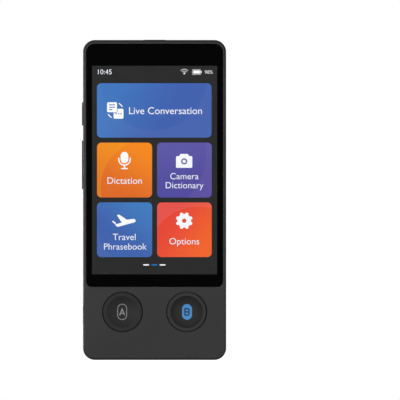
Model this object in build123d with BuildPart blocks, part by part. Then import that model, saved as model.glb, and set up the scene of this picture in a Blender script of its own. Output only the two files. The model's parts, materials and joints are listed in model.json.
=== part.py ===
from build123d import *
import os

# Handheld voice translator: a slim slab with a touch screen, two round talk keys and two side keys.
#
# The device stands upright on its bottom end. +Z runs along its length, the screen faces -Y and the
# side keys are on -X. The origin lies on the bottom end, in the middle of the width and the depth.
# All sizes are in millimetres. Names ending in _y are depths, from the front (-Y) to the back (+Y).

# ------------------------------------------------------------------ display module
active_width = 51.84  # picture area of a 4.0 inch panel with 480 x 800 dots
active_height = 86.40
lcd_side_border = 1.28
lcd_top_border = 1.6
lcd_ledge = 4.1  # lower border that carries the driver and the flex bond
lcd_thickness = 1.2
lcd_gap = 0.15  # between the panel and the parts round it
backlight_inset = 0.4
backlight_ledge_gap = 0.5  # from the picture area down to the backlight's lower edge
backlight_thickness = 1.1
foam_inset = 1.5
foam_thickness = 0.3

# ------------------------------------------------------------------ front glass
glass_thickness = 0.9
glass_recess = 0.1  # how far the glass lies below the lip
glass_gap = 0.1
glass_edge_chamfer = 0.15
glass_chin_radius = 2.3
bond_margin = 1.1  # glass beyond the panel at the sides and the bottom
sensor_band = 7.5  # plain glass above the panel
ink_thickness = 0.1
ink_inset = 0.1
adhesive_thickness = 0.2
adhesive_inset = 0.1

# ------------------------------------------------------------------ case
wall = 1.5
end_wall = 1.6
corner_radius = 4.9
chin_height = 30.3  # from the bottom end to the glass
chin_wall = 1.4
front_edge_radius = 0.75
rim_radius = 1.3
shelf_thickness = 0.8  # inner shelf that the glass is bonded to
shelf_bar = 0.9  # height of the shelf's bar below the glass

# ------------------------------------------------------------------ chassis
chassis_thickness = 0.8
chassis_gap = 0.1
chassis_flange = 0.7
post_diameter = 4.0
post_edge = 2.95  # from the cavity wall to a post's axis
standoff_diameter = 3.6
standoff_height = 0.9

# ------------------------------------------------------------------ screws
screw_diameter = 1.4
screw_head_diameter = 2.6
screw_head_height = 0.5
screw_tip_gap = 0.2
screw_socket_depth = 0.25
screw_socket_width = 1.2
thread_gap = 0.02

# ------------------------------------------------------------------ back cover
cover_thickness = 1.3
cover_gap = 0.1
bevel_width = 1.5
bevel_drop = 0.5
leg_thickness = 0.8
leg_width = 6.0
low_leg_height = 8.5
middle_leg_height = 34.0
key_leg_gap = 2.7  # from the side key bracket to the legs above and below it
top_leg_offset = 18.0
bottom_leg_offset = 14.0
barb_reach = 0.3
barb_depth = 1.0
barb_width = 4.0
barb_y = 1.2
barb_gap = 0.2

# ------------------------------------------------------------------ battery
battery_thickness = 5.4
tape_thickness = 0.2
tape_inset = 1.0
swell_gap = 0.6
battery_radius = 1.6
battery_edge_radius = 0.8
battery_side_gap = 1.0
battery_end_gap = 2.3
battery_terrace = 3.4  # pouch end that carries the protection circuit
circuit_thickness = 0.8
circuit_height = 2.8
circuit_width = 34.0
circuit_gap = 0.2

# ------------------------------------------------------------------ round keys
key_offset = 13.3
key_top_gap = 0.52  # from the chin's inner top edge down to the key flange
key_diameter = 16.35
key_gap = 0.3
key_edge_radius = 0.3
key_travel = 0.35
key_rest_gap = 0.05
key_flange_reach = 0.5
key_flange_thickness = 0.4
plunger_diameter = 4.0
dish_diameter = 13.2
dish_depth = 0.5
recess_diameter = 12.7
recess_depth = 0.22  # step at the rim of the right key's dish
recess_bevel = 0.18
legend_depth = 0.35  # inlay below the floor of the dish
legend_offset = 0.15  # legends beyond the keys' axes, away from the middle
capsule_a_width = 4.05
capsule_a_height = 6.7
capsule_b_width = 4.1
capsule_b_height = 6.5
capsule_line = 0.31
letter_a_height = 2.8
letter_a_width = 2.6
letter_a_stroke = 0.48
letter_a_bar = 0.8  # crossbar of the A above its feet
letter_b_height = 3.2
letter_b_width = 2.35
letter_b_stroke = 0.6
key_board_thickness = 0.6
key_board_side_gap = 0.9  # between the key board and the posts
key_board_low_gap = 2.4
key_board_high_gap = 1.4
dome_diameter = 5.0
dome_thickness = 0.3
dome_round = 0.2
led_size = 1.0
led_thickness = 0.4
led_drop = 5.5  # from a key's axis down to its light

# ------------------------------------------------------------------ side keys
side_key_width = 3.0
side_key_y = 1.0
side_key_gap = 0.15
side_key_proud = 0.46
side_key_edge = 0.25
side_key_travel = 0.3
volume_key_height = 80.85  # middle of the volume key
volume_key_length = 20.3
power_key_length = 9.6
side_key_spacing = 6.2  # between the two keys
volume_dome_offset = 7.5
side_flange_reach = 0.4
side_flange_thickness = 0.5
volume_hook_length = 6.0
volume_hook_gap = 0.12
volume_pivot_width = 0.8
volume_pivot_gap = 0.03
side_dome_diameter = 3.0
side_dome_thickness = 0.3
side_plate_thickness = 0.4
side_plate_margin = 1.5
side_plate_rise = 0.7
side_foot_width = 1.0

# ------------------------------------------------------------------ boards and flexes
board_thickness = 0.8
board_side_gap = 0.25
board_radius = 1.0
main_board_height = 31.8
main_board_top_gap = 1.2
sub_board_height = 10.0
sub_board_gap = 2.5  # from the flex slot up to the lower board
board_screw_drop = 2.6  # from the upper board's top edge to its upper screws
board_screw_left = 5.6
board_screw_right = 7.0
corner_screw_inset = 6.5  # lower screw of the upper board, beside the flex connector
corner_screw_rise = 2.4
sub_screw_left = 2.9
sub_screw_rise = 5.0
sub_screw_drop = 2.6
connector_thickness = 1.0
connector_height = 2.6
connector_edge = 2.0  # from a board's edge to a connector
flex_thickness = 0.15
flex_bend = 0.4
flex_overlap = 3.0  # length of a flex on the piece that it is bonded to
flex_turn_gap = 1.3  # between a board's edge and the turn of a flex
channel_width = 4.6  # free channel beside the battery
main_flex_width = 3.4
display_flex_width = 12.0
key_flex_width = 6.0
key_flex_offset = 16.0
flex_slot_gap = 1.0
flex_slot_rise = 1.1  # from the panel's lower edge to the flex slot's middle
battery_lead_width = 5.0
plug_thickness = 0.6
plug_overhang = 0.4
shield_thickness = 0.2
shield_height = 1.6
shield_edge = 2.4
shield_gap = 2.2
shield_corner = 0.6
processor_height = 21.0
processor_rise = 15.3  # from the upper board's lower edge to the middle of its large can
chip_inset = 1.6
flash_shield_gap = 1.2
chip_thickness = 1.0

# ------------------------------------------------------------------ camera and flash
window_length = 42.2
window_height = 10.2
window_thickness = 0.8
window_gap = 0.05
window_sink = 0.05
window_from_top = 18.5
lens_cover_diameter = 4.1
lens_cover_thickness = 0.5
lens_cover_ledge = 0.2
camera_size = 8.5
camera_air = 0.1
camera_corner = 0.5
barrel_diameter = 6.0
barrel_height = 1.2
barrel_gap = 0.15
baffle_diameter = 3.6
pupil_diameter = 1.4
baffle_depth = 0.7
lens_thickness = 0.3
flash_offset = 12.0
flash_diameter = 3.4
flash_stem_diameter = 2.4
flash_led_size = 2.0
flash_led_thickness = 0.7
flash_air = 0.3
antenna_width = 16.0
antenna_height = 9.0
antenna_thickness = 0.1
antenna_edge = 4.0

# ------------------------------------------------------------------ sound
grille_pitch = 1.63
grille_hole = 0.98
grille_columns = 25
grille_full_rows = 4
speaker_slot_gap = 1.04  # from the flex slot down to the speaker box
speaker_box_margin = 2.0
speaker_box_height = 16.4
speaker_box_radius = 2.0
speaker_box_wall = 0.8
driver_length = 24.0
driver_height = 11.0
driver_depth = 1.2
driver_sink = 0.3
driver_ledge = 0.8
magnet_length = 15.0
magnet_height = 6.0
magnet_depth = 1.4
driver_gap = 0.1
cone_inset = 2.0
cone_depth = 0.5
gasket_thickness = 0.6
gasket_width = 0.9
gasket_margin = 0.35
mesh_thickness = 0.1
contact_offset = 13.5
contact_pitch = 3.0
contact_width = 1.2
contact_depth = 1.2  # how far the spring contacts bend below the gasket
contact_rise = 0.6  # where they bend, below the lower board
contact_landing = 1.6  # their length on the lower board
mic_width = 3.5
mic_height = 2.65
mic_thickness = 1.0
mic_hole = 1.0
top_mic_offset = 9.5
boot_width = 3.2
boot_wall = 0.25

# ------------------------------------------------------------------ charging port
usb_width = 8.94
usb_thickness = 3.26
usb_depth = 7.3
usb_shell_wall = 0.3
usb_proud = 0.1
usb_gap = 0.1
tongue_width = 6.7
tongue_thickness = 0.7
tongue_depth = 4.6
usb_plug_room = 6.0

# ------------------------------------------------------------------ strap eyelet
eyelet_height = 18.6
eyelet_length = 7.5
eyelet_width = 4.2
eyelet_rim = 0.8
eyelet_thickness = 0.8
eyelet_proud = 0.07
eyelet_gap = 0.05
eyelet_pocket_depth = 3.2
eyelet_cup_wall = 0.8
bar_diameter = 1.1
bar_depth = 1.6  # from the case's side to the bar's axis


# ================================================================== helpers for values
def middle(low, high):
    """Half way between two values."""
    return (low + high) / 2


def spread(centre, size):
    """Low and high value of a size centred on a value."""
    return (centre - size / 2, centre + size / 2)


# ================================================================== places worked out from the sizes
case_depth = sum(
    (
        glass_recess,
        glass_thickness,
        ink_thickness,
        lcd_thickness,
        backlight_thickness,
        foam_thickness,
        chassis_thickness,
        tape_thickness,
        battery_thickness,
        swell_gap,
        cover_thickness,
    )
)
face_y = -case_depth / 2
glass_y = face_y + glass_recess
ink_y = glass_y + glass_thickness
lcd_y = ink_y + ink_thickness
shelf_y = lcd_y + adhesive_thickness
shelf_back_y = shelf_y + shelf_thickness
chin_inside_y = face_y + chin_wall
backlight_y = lcd_y + lcd_thickness
foam_y = backlight_y + backlight_thickness
chassis_y = foam_y + foam_thickness
chassis_back_y = chassis_y + chassis_thickness
battery_y = chassis_back_y + tape_thickness
cover_inside_y = battery_y + battery_thickness + swell_gap
back_y = cover_inside_y + cover_thickness
rim_y = back_y - bevel_drop

lcd_width = active_width + 2 * lcd_side_border
glass_width = lcd_width + 2 * bond_margin
cavity_width = lcd_width + 2 * (lcd_gap + chassis_flange + chassis_gap)
cavity_side = cavity_width / 2
case_width = cavity_width + 2 * wall
case_side = case_width / 2
lip_width = (case_width - glass_width) / 2
cavity_radius = corner_radius - wall
glass_top_radius = corner_radius - lip_width

glass_bottom = chin_height
lcd_bottom = glass_bottom + bond_margin
active_bottom = lcd_bottom + lcd_ledge
active_top = active_bottom + active_height
lcd_top = active_top + lcd_top_border
glass_top = lcd_top + sensor_band
case_height = glass_top + end_wall
cavity_bottom = end_wall
cavity_top = case_height - end_wall
chin_cavity_top = glass_bottom - shelf_bar

post_side = cavity_side - post_edge
post_low = cavity_bottom + post_edge
post_high = cavity_top - post_edge
post_places = [(-post_side, post_low), (post_side, post_low), (-post_side, post_high), (post_side, post_high)]

cover_width = cavity_width - 2 * cover_gap
cover_side = cover_width / 2
cover_bottom = cavity_bottom + cover_gap
cover_top = cavity_top - cover_gap
leg_side = cover_side - leg_thickness

power_key_height = volume_key_height + side_key_spacing + middle(volume_key_length, power_key_length)
side_stop_x = -(cavity_side - key_rest_gap)  # outer face of the power key's flange
side_key_back_x = side_stop_x + side_flange_thickness
side_dome_x = side_key_back_x + side_key_travel + key_rest_gap
side_flex_x = side_dome_x + side_dome_thickness
side_plate_x = side_flex_x + flex_thickness
side_plate_back_x = side_plate_x + side_plate_thickness
side_plate_low = volume_key_height - volume_key_length / 2 - side_plate_margin
side_plate_high = power_key_height + power_key_length / 2 + side_plate_margin
side_flange_width = side_key_width + 2 * side_flange_reach
side_plate_top_y = side_key_y + side_key_width / 2 + side_plate_rise

leg_heights = (
    low_leg_height,
    middle_leg_height,
    side_plate_low - key_leg_gap - leg_width / 2,
    side_plate_high + key_leg_gap + leg_width / 2,
)

board_y = chassis_back_y + standoff_height
board_back_y = board_y + board_thickness
connector_y = board_back_y + connector_thickness
board_left = side_plate_back_x + battery_side_gap
board_right = leg_side - board_side_gap
main_board_top = cavity_top - main_board_top_gap
main_board_bottom = main_board_top - main_board_height
flex_slot_height = lcd_bottom + flex_slot_rise  # where the flexes pass through the chassis
sub_board_bottom = flex_slot_height + sub_board_gap
sub_board_top = sub_board_bottom + sub_board_height
battery_left = board_left
battery_right = leg_side - channel_width
battery_bottom = sub_board_top + battery_end_gap
battery_top = main_board_bottom - battery_end_gap
channel_x = battery_right + channel_width / 2

camera_height = case_height - window_from_top
window_back_y = back_y - window_sink  # outer face of the rear window
window_y = window_back_y - window_thickness
barrel_top_y = window_y - camera_air
camera_top_y = barrel_top_y - barrel_height

key_flange_y = chin_inside_y + key_rest_gap
key_flange_back_y = key_flange_y + key_flange_thickness
key_board_y = chassis_y - key_board_thickness
dome_y = key_board_y - dome_thickness
plunger_y = dome_y - key_travel - key_rest_gap
key_board_side = post_side - post_diameter / 2 - key_board_side_gap
key_board_bottom = cavity_bottom + key_board_low_gap
key_board_top = chin_cavity_top - key_board_high_gap
key_hole = key_diameter + 2 * key_gap
key_height = chin_cavity_top - key_top_gap - key_hole / 2 - key_flange_reach
key_places = [(-key_offset, key_height), (key_offset, key_height)]
legend_x = key_offset + legend_offset

speaker_top = flex_slot_height - flex_slot_gap - speaker_slot_gap
speaker_bottom = speaker_top - speaker_box_height
grille_height = middle(speaker_bottom, speaker_top)  # middle of the full rows
grille_side = (grille_columns - 1) / 2 * grille_pitch
grille_half_height = (grille_full_rows + 1) / 2 * grille_pitch
speaker_side = grille_side + speaker_box_margin
mesh_y = cover_inside_y - mesh_thickness
gasket_y = mesh_y - gasket_thickness
gasket_side = grille_side + grille_hole / 2 + gasket_margin
gasket_half_height = grille_half_height + grille_hole / 2 + gasket_margin

usb_y = board_back_y + usb_thickness / 2
usb_top = case_height + usb_proud
usb_bottom = usb_top - usb_depth
top_mic_y = board_back_y + mic_thickness / 2
bottom_mic_y = key_board_y - mic_thickness / 2


# ================================================================== helpers for shapes
def plane_at(y):
    """Sketch plane at a depth, seen from the front: its x is +X and its y is +Z."""
    return Plane(origin=(0, y, 0), x_dir=(1, 0, 0), z_dir=(0, -1, 0))


def brick(x, y, z, mode=Mode.ADD):
    """Box between a low and a high value on each axis."""
    with Locations((middle(*x), middle(*y), middle(*z))):
        Box(x[1] - x[0], y[1] - y[0], z[1] - z[0], mode=mode)


def slab(width, z, radius, y, x=0.0, mode=Mode.ADD):
    """Rounded rectangle between two heights, extruded from one depth to another."""
    with BuildSketch(plane_at(y[0])) as outline:
        with Locations((x, middle(*z))):
            RectangleRounded(width, z[1] - z[0], radius)
    extrude(outline.sketch, amount=y[0] - y[1], mode=mode)


def pins(places, diameter, y, mode=Mode.ADD):
    """Round pins or holes along Y at the (x, z) places."""
    with BuildSketch(plane_at(y[0])) as outline:
        with Locations(*places):
            Circle(diameter / 2)
    extrude(outline.sketch, amount=y[0] - y[1], mode=mode)


def glass_outline(y, growth):
    """Outline of the front glass, grown all round: tight corners at the chin, wide ones at the top."""
    with BuildSketch(plane_at(y)) as outline:
        with Locations((0, middle(glass_bottom, glass_top))):
            Rectangle(glass_width + 2 * growth, glass_top - glass_bottom + 2 * growth)
        fillet(outline.vertices().group_by(Axis.Y)[0], radius=glass_chin_radius + growth)
        fillet(outline.vertices().group_by(Axis.Y)[-1], radius=glass_top_radius + growth)
    return outline.sketch


def side_block(height, length, width, x, mode=Mode.ADD):
    """Round-ended block in the side wall, from one x to another, centred on the side keys' line."""
    with BuildSketch(Plane.YZ.offset(x[0])) as outline:
        with Locations((side_key_y, height)):
            SlotOverall(length, width, rotation=90)
    extrude(outline.sketch, amount=x[1] - x[0], mode=mode)


def ribbon(points, x, width):
    """Flat flex of constant thickness along (y, z) points, centred on x."""
    with BuildSketch(Plane.YZ.offset(x - width / 2)) as profile:
        with BuildLine():
            FilletPolyline(*points, radius=flex_bend)
        trace(line_width=flex_thickness)
    extrude(profile.sketch, amount=width)


def screws(places, head_y, length):
    """Pan-head screws that point to the front, with a recess in each head."""
    pins(places, screw_head_diameter, (head_y, head_y + screw_head_height))
    pins(places, screw_diameter, (head_y - length, head_y))
    with BuildSketch(plane_at(head_y + screw_head_height)) as recess:
        with Locations(*places):
            RegularPolygon(screw_socket_width / 2, 6)
    extrude(recess.sketch, amount=screw_socket_depth, mode=Mode.SUBTRACT)


def leg_rows():
    """Places of the cover's side legs: the side that each is on and its height."""
    return [(side, height) for height in leg_heights for side in (-1, 1)]


def end_rows():
    """Places of the cover's end legs: x, the end wall's height and the way to that wall."""
    top = [(side * top_leg_offset, cover_top, 1) for side in (-1, 1)]
    bottom = [(side * bottom_leg_offset, cover_bottom, -1) for side in (-1, 1)]
    return top + bottom


def barbs(reach, growth, mode=Mode.ADD):
    """Snap barbs on the cover's legs, or, grown and subtracted, their pockets in the case."""
    deep = (barb_y - growth, barb_y + barb_depth + growth)
    half = barb_width / 2 + growth
    for side, height in leg_rows():
        ends = sorted((side * leg_side, side * (cover_side + reach)))
        brick(ends, deep, (height - half, height + half), mode)
    for x, end, way in end_rows():
        ends = sorted((end - way * leg_thickness, end + way * reach))
        brick((x - half, x + half), deep, ends, mode)


# ================================================================== case
with BuildPart() as front_housing:
    slab(case_width, (0, case_height), corner_radius, (face_y, rim_y))
    fillet(front_housing.edges().group_by(Axis.Y)[0], radius=front_edge_radius)
    fillet(front_housing.edges().group_by(Axis.Y)[-1], radius=rim_radius)
    # Main cavity, open to the back, and the shallower room behind the chin.
    slab(cavity_width, (cavity_bottom, cavity_top), cavity_radius, (shelf_back_y, rim_y), mode=Mode.SUBTRACT)
    chin_room = (chin_inside_y, shelf_back_y)
    slab(cavity_width, (cavity_bottom, chin_cavity_top), cavity_radius, chin_room, mode=Mode.SUBTRACT)
    # Recess for the glass, and the window through the shelf behind it.
    extrude(glass_outline(face_y, glass_gap), amount=face_y - shelf_y, mode=Mode.SUBTRACT)
    slab(
        lcd_width + 2 * lcd_gap,
        (lcd_bottom - lcd_gap, lcd_top + lcd_gap),
        lcd_gap,
        (shelf_y, shelf_back_y),
        mode=Mode.SUBTRACT,
    )
    # Posts for the chassis screws.
    pins(post_places[:2], post_diameter, (chin_inside_y, chassis_y))
    pins(post_places[2:], post_diameter, (shelf_back_y, chassis_y))
    screw_tip_y = shelf_back_y + screw_tip_gap
    pins(post_places, screw_diameter + 2 * thread_gap, (screw_tip_y, chassis_y), Mode.SUBTRACT)
    # Round holes for the keys.
    pins(key_places, key_hole, (face_y, chin_inside_y), Mode.SUBTRACT)
    # Cup behind the strap eyelet, its pocket and the seat of its metal rim.
    cup_x = -case_side + eyelet_pocket_depth + eyelet_cup_wall
    cup_growth = 2 * eyelet_cup_wall - 2 * eyelet_rim
    side_block(eyelet_height, eyelet_length + cup_growth, eyelet_width + cup_growth, (-cavity_side, cup_x))
    side_block(
        eyelet_height,
        eyelet_length - 2 * eyelet_rim,
        eyelet_width - 2 * eyelet_rim,
        (-case_side, -case_side + eyelet_pocket_depth),
        Mode.SUBTRACT,
    )
    side_block(
        eyelet_height,
        eyelet_length + 2 * eyelet_gap,
        eyelet_width + 2 * eyelet_gap,
        (-case_side, -case_side + eyelet_thickness - eyelet_proud),
        Mode.SUBTRACT,
    )
    # Slots for the side keys.
    for height, length in ((power_key_height, power_key_length), (volume_key_height, volume_key_length)):
        side_block(
            height,
            length + 2 * side_key_gap,
            side_key_width + 2 * side_key_gap,
            (-case_side, -cavity_side),
            Mode.SUBTRACT,
        )
    # Mouth of the charging port and the two microphone holes.
    with BuildSketch(Plane.XY.offset(cavity_top)) as mouth:
        with Locations((0, usb_y)):
            SlotOverall(usb_width + 2 * usb_gap, usb_thickness + 2 * usb_gap)
    extrude(mouth.sketch, amount=end_wall, mode=Mode.SUBTRACT)
    with BuildSketch(Plane.XY.offset(cavity_top)) as top_hole:
        with Locations((top_mic_offset, top_mic_y)):
            Circle(mic_hole / 2)
    extrude(top_hole.sketch, amount=end_wall, mode=Mode.SUBTRACT)
    with BuildSketch(Plane.XY) as bottom_hole:
        with Locations((0, bottom_mic_y)):
            Circle(mic_hole / 2)
    extrude(bottom_hole.sketch, amount=end_wall, mode=Mode.SUBTRACT)
    barbs(cover_gap + barb_reach + barb_gap, barb_gap, Mode.SUBTRACT)

# Where the strap bar's two ends sit in the cup of the eyelet.
bar_x = -case_side + bar_depth
bar_half = (eyelet_width - 2 * eyelet_rim) / 2 + eyelet_cup_wall / 2
with BuildPart() as strap_bar:
    with BuildSketch(plane_at(side_key_y - bar_half)) as bar_end:
        with Locations((bar_x, eyelet_height)):
            Circle(bar_diameter / 2)
    extrude(bar_end.sketch, amount=-2 * bar_half)

with front_housing:
    add(strap_bar.part, mode=Mode.SUBTRACT)

with BuildPart() as strap_eyelet:
    eyelet_x = (-case_side - eyelet_proud, -case_side + eyelet_thickness - eyelet_proud)
    side_block(eyelet_height, eyelet_length, eyelet_width, eyelet_x)
    inner = (eyelet_length - 2 * eyelet_rim, eyelet_width - 2 * eyelet_rim)
    side_block(eyelet_height, *inner, eyelet_x, Mode.SUBTRACT)

with BuildPart() as back_cover:
    slab(cover_width, (cover_bottom, cover_top), cavity_radius - cover_gap, (cover_inside_y, back_y))
    outer_face = back_cover.faces().sort_by(Axis.Y)[-1]
    chamfer(outer_face.edges(), length=bevel_width, length2=bevel_drop, reference=outer_face)
    # Snap legs that stand on the chassis.
    for side, height in leg_rows():
        ends = sorted((side * leg_side, side * cover_side))
        brick(ends, (chassis_back_y, cover_inside_y), spread(height, leg_width))
    for x, end, way in end_rows():
        ends = sorted((end - way * leg_thickness, end))
        brick(spread(x, leg_width), (chassis_back_y, cover_inside_y), ends)
    barbs(barb_reach, 0)
    # Pocket for the rear window, with the holes for the camera and the flash light pipe.
    with BuildSketch(plane_at(back_y)) as pocket:
        with Locations((0, camera_height)):
            SlotOverall(window_length + 2 * window_gap, window_height + 2 * window_gap)
    extrude(pocket.sketch, amount=back_y - window_y, mode=Mode.SUBTRACT)
    through = (cover_inside_y, window_y)
    pins([(0, camera_height)], barrel_diameter + 2 * barrel_gap, through, Mode.SUBTRACT)
    pins([(flash_offset, camera_height)], flash_stem_diameter + 2 * window_gap, through, Mode.SUBTRACT)
    # Speaker holes: full rows, a lower row one hole shorter at each end and a short pair at each end above.
    low_row = grille_height - grille_half_height
    high_row = grille_height + grille_half_height
    with BuildSketch(plane_at(cover_inside_y)) as holes:
        with Locations((0, grille_height)):
            with GridLocations(grille_pitch, grille_pitch, grille_columns, grille_full_rows):
                Circle(grille_hole / 2)
        with Locations((0, low_row)):
            with GridLocations(grille_pitch, grille_pitch, grille_columns - 2, 1):
                Circle(grille_hole / 2)
        for side in (-1, 1):
            for step in (1, 2):
                with Locations((side * (grille_side - step * grille_pitch), high_row)):
                    Circle(grille_hole / 2)
    extrude(holes.sketch, amount=cover_inside_y - back_y, mode=Mode.SUBTRACT)

# ================================================================== front glass and display
with BuildPart() as cover_glass:
    extrude(glass_outline(glass_y, 0), amount=-glass_thickness)
    chamfer(cover_glass.edges().group_by(Axis.Y)[0], length=glass_edge_chamfer)

with BuildPart() as ink_border:
    extrude(glass_outline(ink_y, -ink_inset), amount=-ink_thickness)
    brick(
        spread(0, active_width),
        (ink_y, lcd_y),
        (active_bottom, active_top),
        Mode.SUBTRACT,
    )

with BuildPart() as display_adhesive:
    extrude(glass_outline(lcd_y, -adhesive_inset), amount=-adhesive_thickness)
    slab(
        lcd_width + 2 * lcd_gap,
        (lcd_bottom - lcd_gap, lcd_top + lcd_gap),
        lcd_gap,
        (lcd_y, shelf_y),
        mode=Mode.SUBTRACT,
    )

with BuildPart() as lcd_panel:
    brick(spread(0, lcd_width), (lcd_y, backlight_y), (lcd_bottom, lcd_top))

backlight_side = lcd_width / 2 - backlight_inset
backlight_bottom = active_bottom - backlight_ledge_gap
backlight_top = lcd_top - backlight_inset
with BuildPart() as backlight:
    brick((-backlight_side, backlight_side), (backlight_y, foam_y), (backlight_bottom, backlight_top))

with BuildPart() as display_foam:
    foam_side = backlight_side - foam_inset
    foam_z = (backlight_bottom + foam_inset, backlight_top - foam_inset)
    brick((-foam_side, foam_side), (foam_y, chassis_y), foam_z)

with BuildPart() as display_flex:
    bond_y = backlight_y + flex_thickness / 2
    landing_y = connector_y + flex_thickness / 2
    landing_top = sub_board_bottom + connector_edge + connector_height
    ribbon(
        [
            (bond_y, backlight_bottom - lcd_gap),
            (bond_y, flex_slot_height),
            (landing_y, flex_slot_height),
            (landing_y, landing_top),
        ],
        0,
        display_flex_width,
    )

# ================================================================== chassis and screws
board_screw_places = [
    (board_left + board_screw_left, main_board_top - board_screw_drop),
    (board_right - board_screw_right, main_board_top - board_screw_drop),
    (board_right - corner_screw_inset, main_board_bottom + corner_screw_rise),
]
sub_screw_places = [
    (board_left + sub_screw_left, sub_board_bottom + sub_screw_rise),
    (board_right - corner_screw_inset, sub_board_top - sub_screw_drop),
]
standoff_places = board_screw_places + sub_screw_places

with BuildPart() as chassis:
    plate_width = cavity_width - 2 * chassis_gap
    plate_z = (cavity_bottom + chassis_gap, cavity_top - chassis_gap)
    slab(plate_width, plate_z, cavity_radius - chassis_gap, (chassis_y, chassis_back_y))
    # Upright flange round the display module, notched for the key flex.
    reach = lcd_gap + chassis_flange
    ring_z = (lcd_bottom - reach, lcd_top + reach)
    slab(plate_width, ring_z, chassis_flange, (shelf_back_y, chassis_y))
    well_side = lcd_width / 2 + lcd_gap
    brick(
        (-well_side, well_side),
        (shelf_back_y, chassis_y),
        (lcd_bottom - lcd_gap, lcd_top + lcd_gap),
        Mode.SUBTRACT,
    )
    notch_half = key_flex_width / 2 + lcd_gap
    notch_x = (key_flex_offset - notch_half, key_flex_offset + notch_half)
    brick(notch_x, (shelf_back_y, chassis_y), (ring_z[0], lcd_bottom), Mode.SUBTRACT)
    # Slot that both flexes pass through to the lower board.
    slot_x = (-display_flex_width / 2 - flex_slot_gap, key_flex_offset + notch_half + flex_slot_gap)
    slot_z = (flex_slot_height - flex_slot_gap, flex_slot_height + flex_slot_gap)
    brick(slot_x, (chassis_y, chassis_back_y), slot_z, Mode.SUBTRACT)
    # Standoffs for the boards, and all screw holes.
    pins(standoff_places, standoff_diameter, (chassis_back_y, board_y))
    hole = screw_diameter + 2 * thread_gap
    pins(standoff_places, hole, (chassis_y, board_y), Mode.SUBTRACT)
    pins(post_places, hole, (chassis_y, chassis_back_y), Mode.SUBTRACT)

with BuildPart() as chassis_screws:
    screws(post_places, chassis_back_y, chassis_back_y - shelf_back_y - 2 * screw_tip_gap)

with BuildPart() as board_screws:
    screws(standoff_places, board_back_y, board_back_y - chassis_y - screw_tip_gap)

# ================================================================== round keys
def key_body(x):
    """Common body of a round key: its cap, the flange that holds it in the chin and its plunger."""
    place = [(x, key_height)]
    pins(place, key_diameter, (face_y, key_flange_back_y))
    pins(place, key_hole + 2 * key_flange_reach, (key_flange_y, key_flange_back_y))
    pins(place, plunger_diameter, (key_flange_back_y, plunger_y))


def dish(x, width, rim_depth=0.0, mode=Mode.SUBTRACT):
    """Ball that hollows out the face of a key, starting at a depth at the dish's rim."""
    sag = dish_depth - rim_depth
    radius = ((width / 2) ** 2 + sag**2) / (2 * sag)
    with Locations((x, face_y + dish_depth - radius, key_height)):
        Sphere(radius, mode=mode)


def capsule(x, height, width):
    """Upright capsule outline at a key, as a sketch on the key's face."""
    with BuildSketch(plane_at(face_y)) as outline:
        with Locations((x, key_height)):
            SlotOverall(height, width, rotation=90)
    return outline.sketch


def letter_a(x):
    """Letter A as three strokes, centred on a key."""
    half = (letter_a_width - letter_a_stroke) / 2
    foot = key_height - letter_a_height / 2
    top = key_height + letter_a_height / 2 - letter_a_stroke / 2
    bar = foot + letter_a_bar
    with BuildSketch(plane_at(face_y)) as letter:
        with BuildLine():
            Polyline((x - half, foot), (x, top), (x + half, foot))
            Line((x - letter_a_stroke, bar), (x + letter_a_stroke, bar))
        trace(line_width=letter_a_stroke)
    return letter.sketch


def letter_b(x):
    """Letter B: an upright stem and two half rings, centred on a key."""
    low = key_height - letter_b_height / 2
    bowl = letter_b_height / 4 + letter_b_stroke / 4
    left = x - letter_b_width / 2
    inner = bowl - letter_b_stroke
    with BuildSketch(plane_at(face_y)) as letter:
        for centre in (low + bowl, low + letter_b_height - bowl):
            with Locations((left + letter_b_width - bowl, centre)):
                Circle(bowl)
            with Locations((middle(left, left + letter_b_width - bowl), centre)):
                Rectangle(letter_b_width - bowl, 2 * bowl)
        for centre in (low + bowl, low + letter_b_height - bowl):
            with Locations((left + letter_b_width - bowl, centre)):
                Circle(inner, mode=Mode.SUBTRACT)
            room = letter_b_width - bowl - letter_b_stroke
            with Locations((left + letter_b_stroke + room / 2, centre)):
                Rectangle(room, 2 * inner, mode=Mode.SUBTRACT)
    return letter.sketch


legend_floor = dish_depth + legend_depth
with BuildPart() as key_a_legend:
    extrude(capsule(-legend_x, capsule_a_height, capsule_a_width), amount=-legend_floor)
    line = 2 * capsule_line
    inner_capsule = capsule(-legend_x, capsule_a_height - line, capsule_a_width - line)
    extrude(inner_capsule, amount=-legend_floor, mode=Mode.SUBTRACT)
    extrude(letter_a(-legend_x), amount=-legend_floor)
    dish(-key_offset, dish_diameter)

with BuildPart() as key_a:
    key_body(-key_offset)
    dish(-key_offset, dish_diameter)
    fillet(
        key_a.edges().filter_by(GeomType.CIRCLE).group_by(Axis.Y)[0].sort_by(SortBy.RADIUS)[-1:],
        radius=key_edge_radius,
    )
    add(key_a_legend.part, mode=Mode.SUBTRACT)

# The right key's dish is sunk by a step inside a flat ring.
with BuildPart() as recess:
    pins([(key_offset, key_height)], recess_diameter, (face_y, face_y + dish_depth))
    dish(key_offset, recess_diameter, recess_depth, Mode.INTERSECT)

with BuildPart() as key_b_legend:
    extrude(letter_b(legend_x), amount=-legend_floor)
    add(recess.part, mode=Mode.SUBTRACT)

with BuildPart() as key_b_light_guide:
    extrude(capsule(legend_x, capsule_b_height, capsule_b_width), amount=-legend_floor)
    add(recess.part, mode=Mode.SUBTRACT)
    add(key_b_legend.part, mode=Mode.SUBTRACT)

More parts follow.
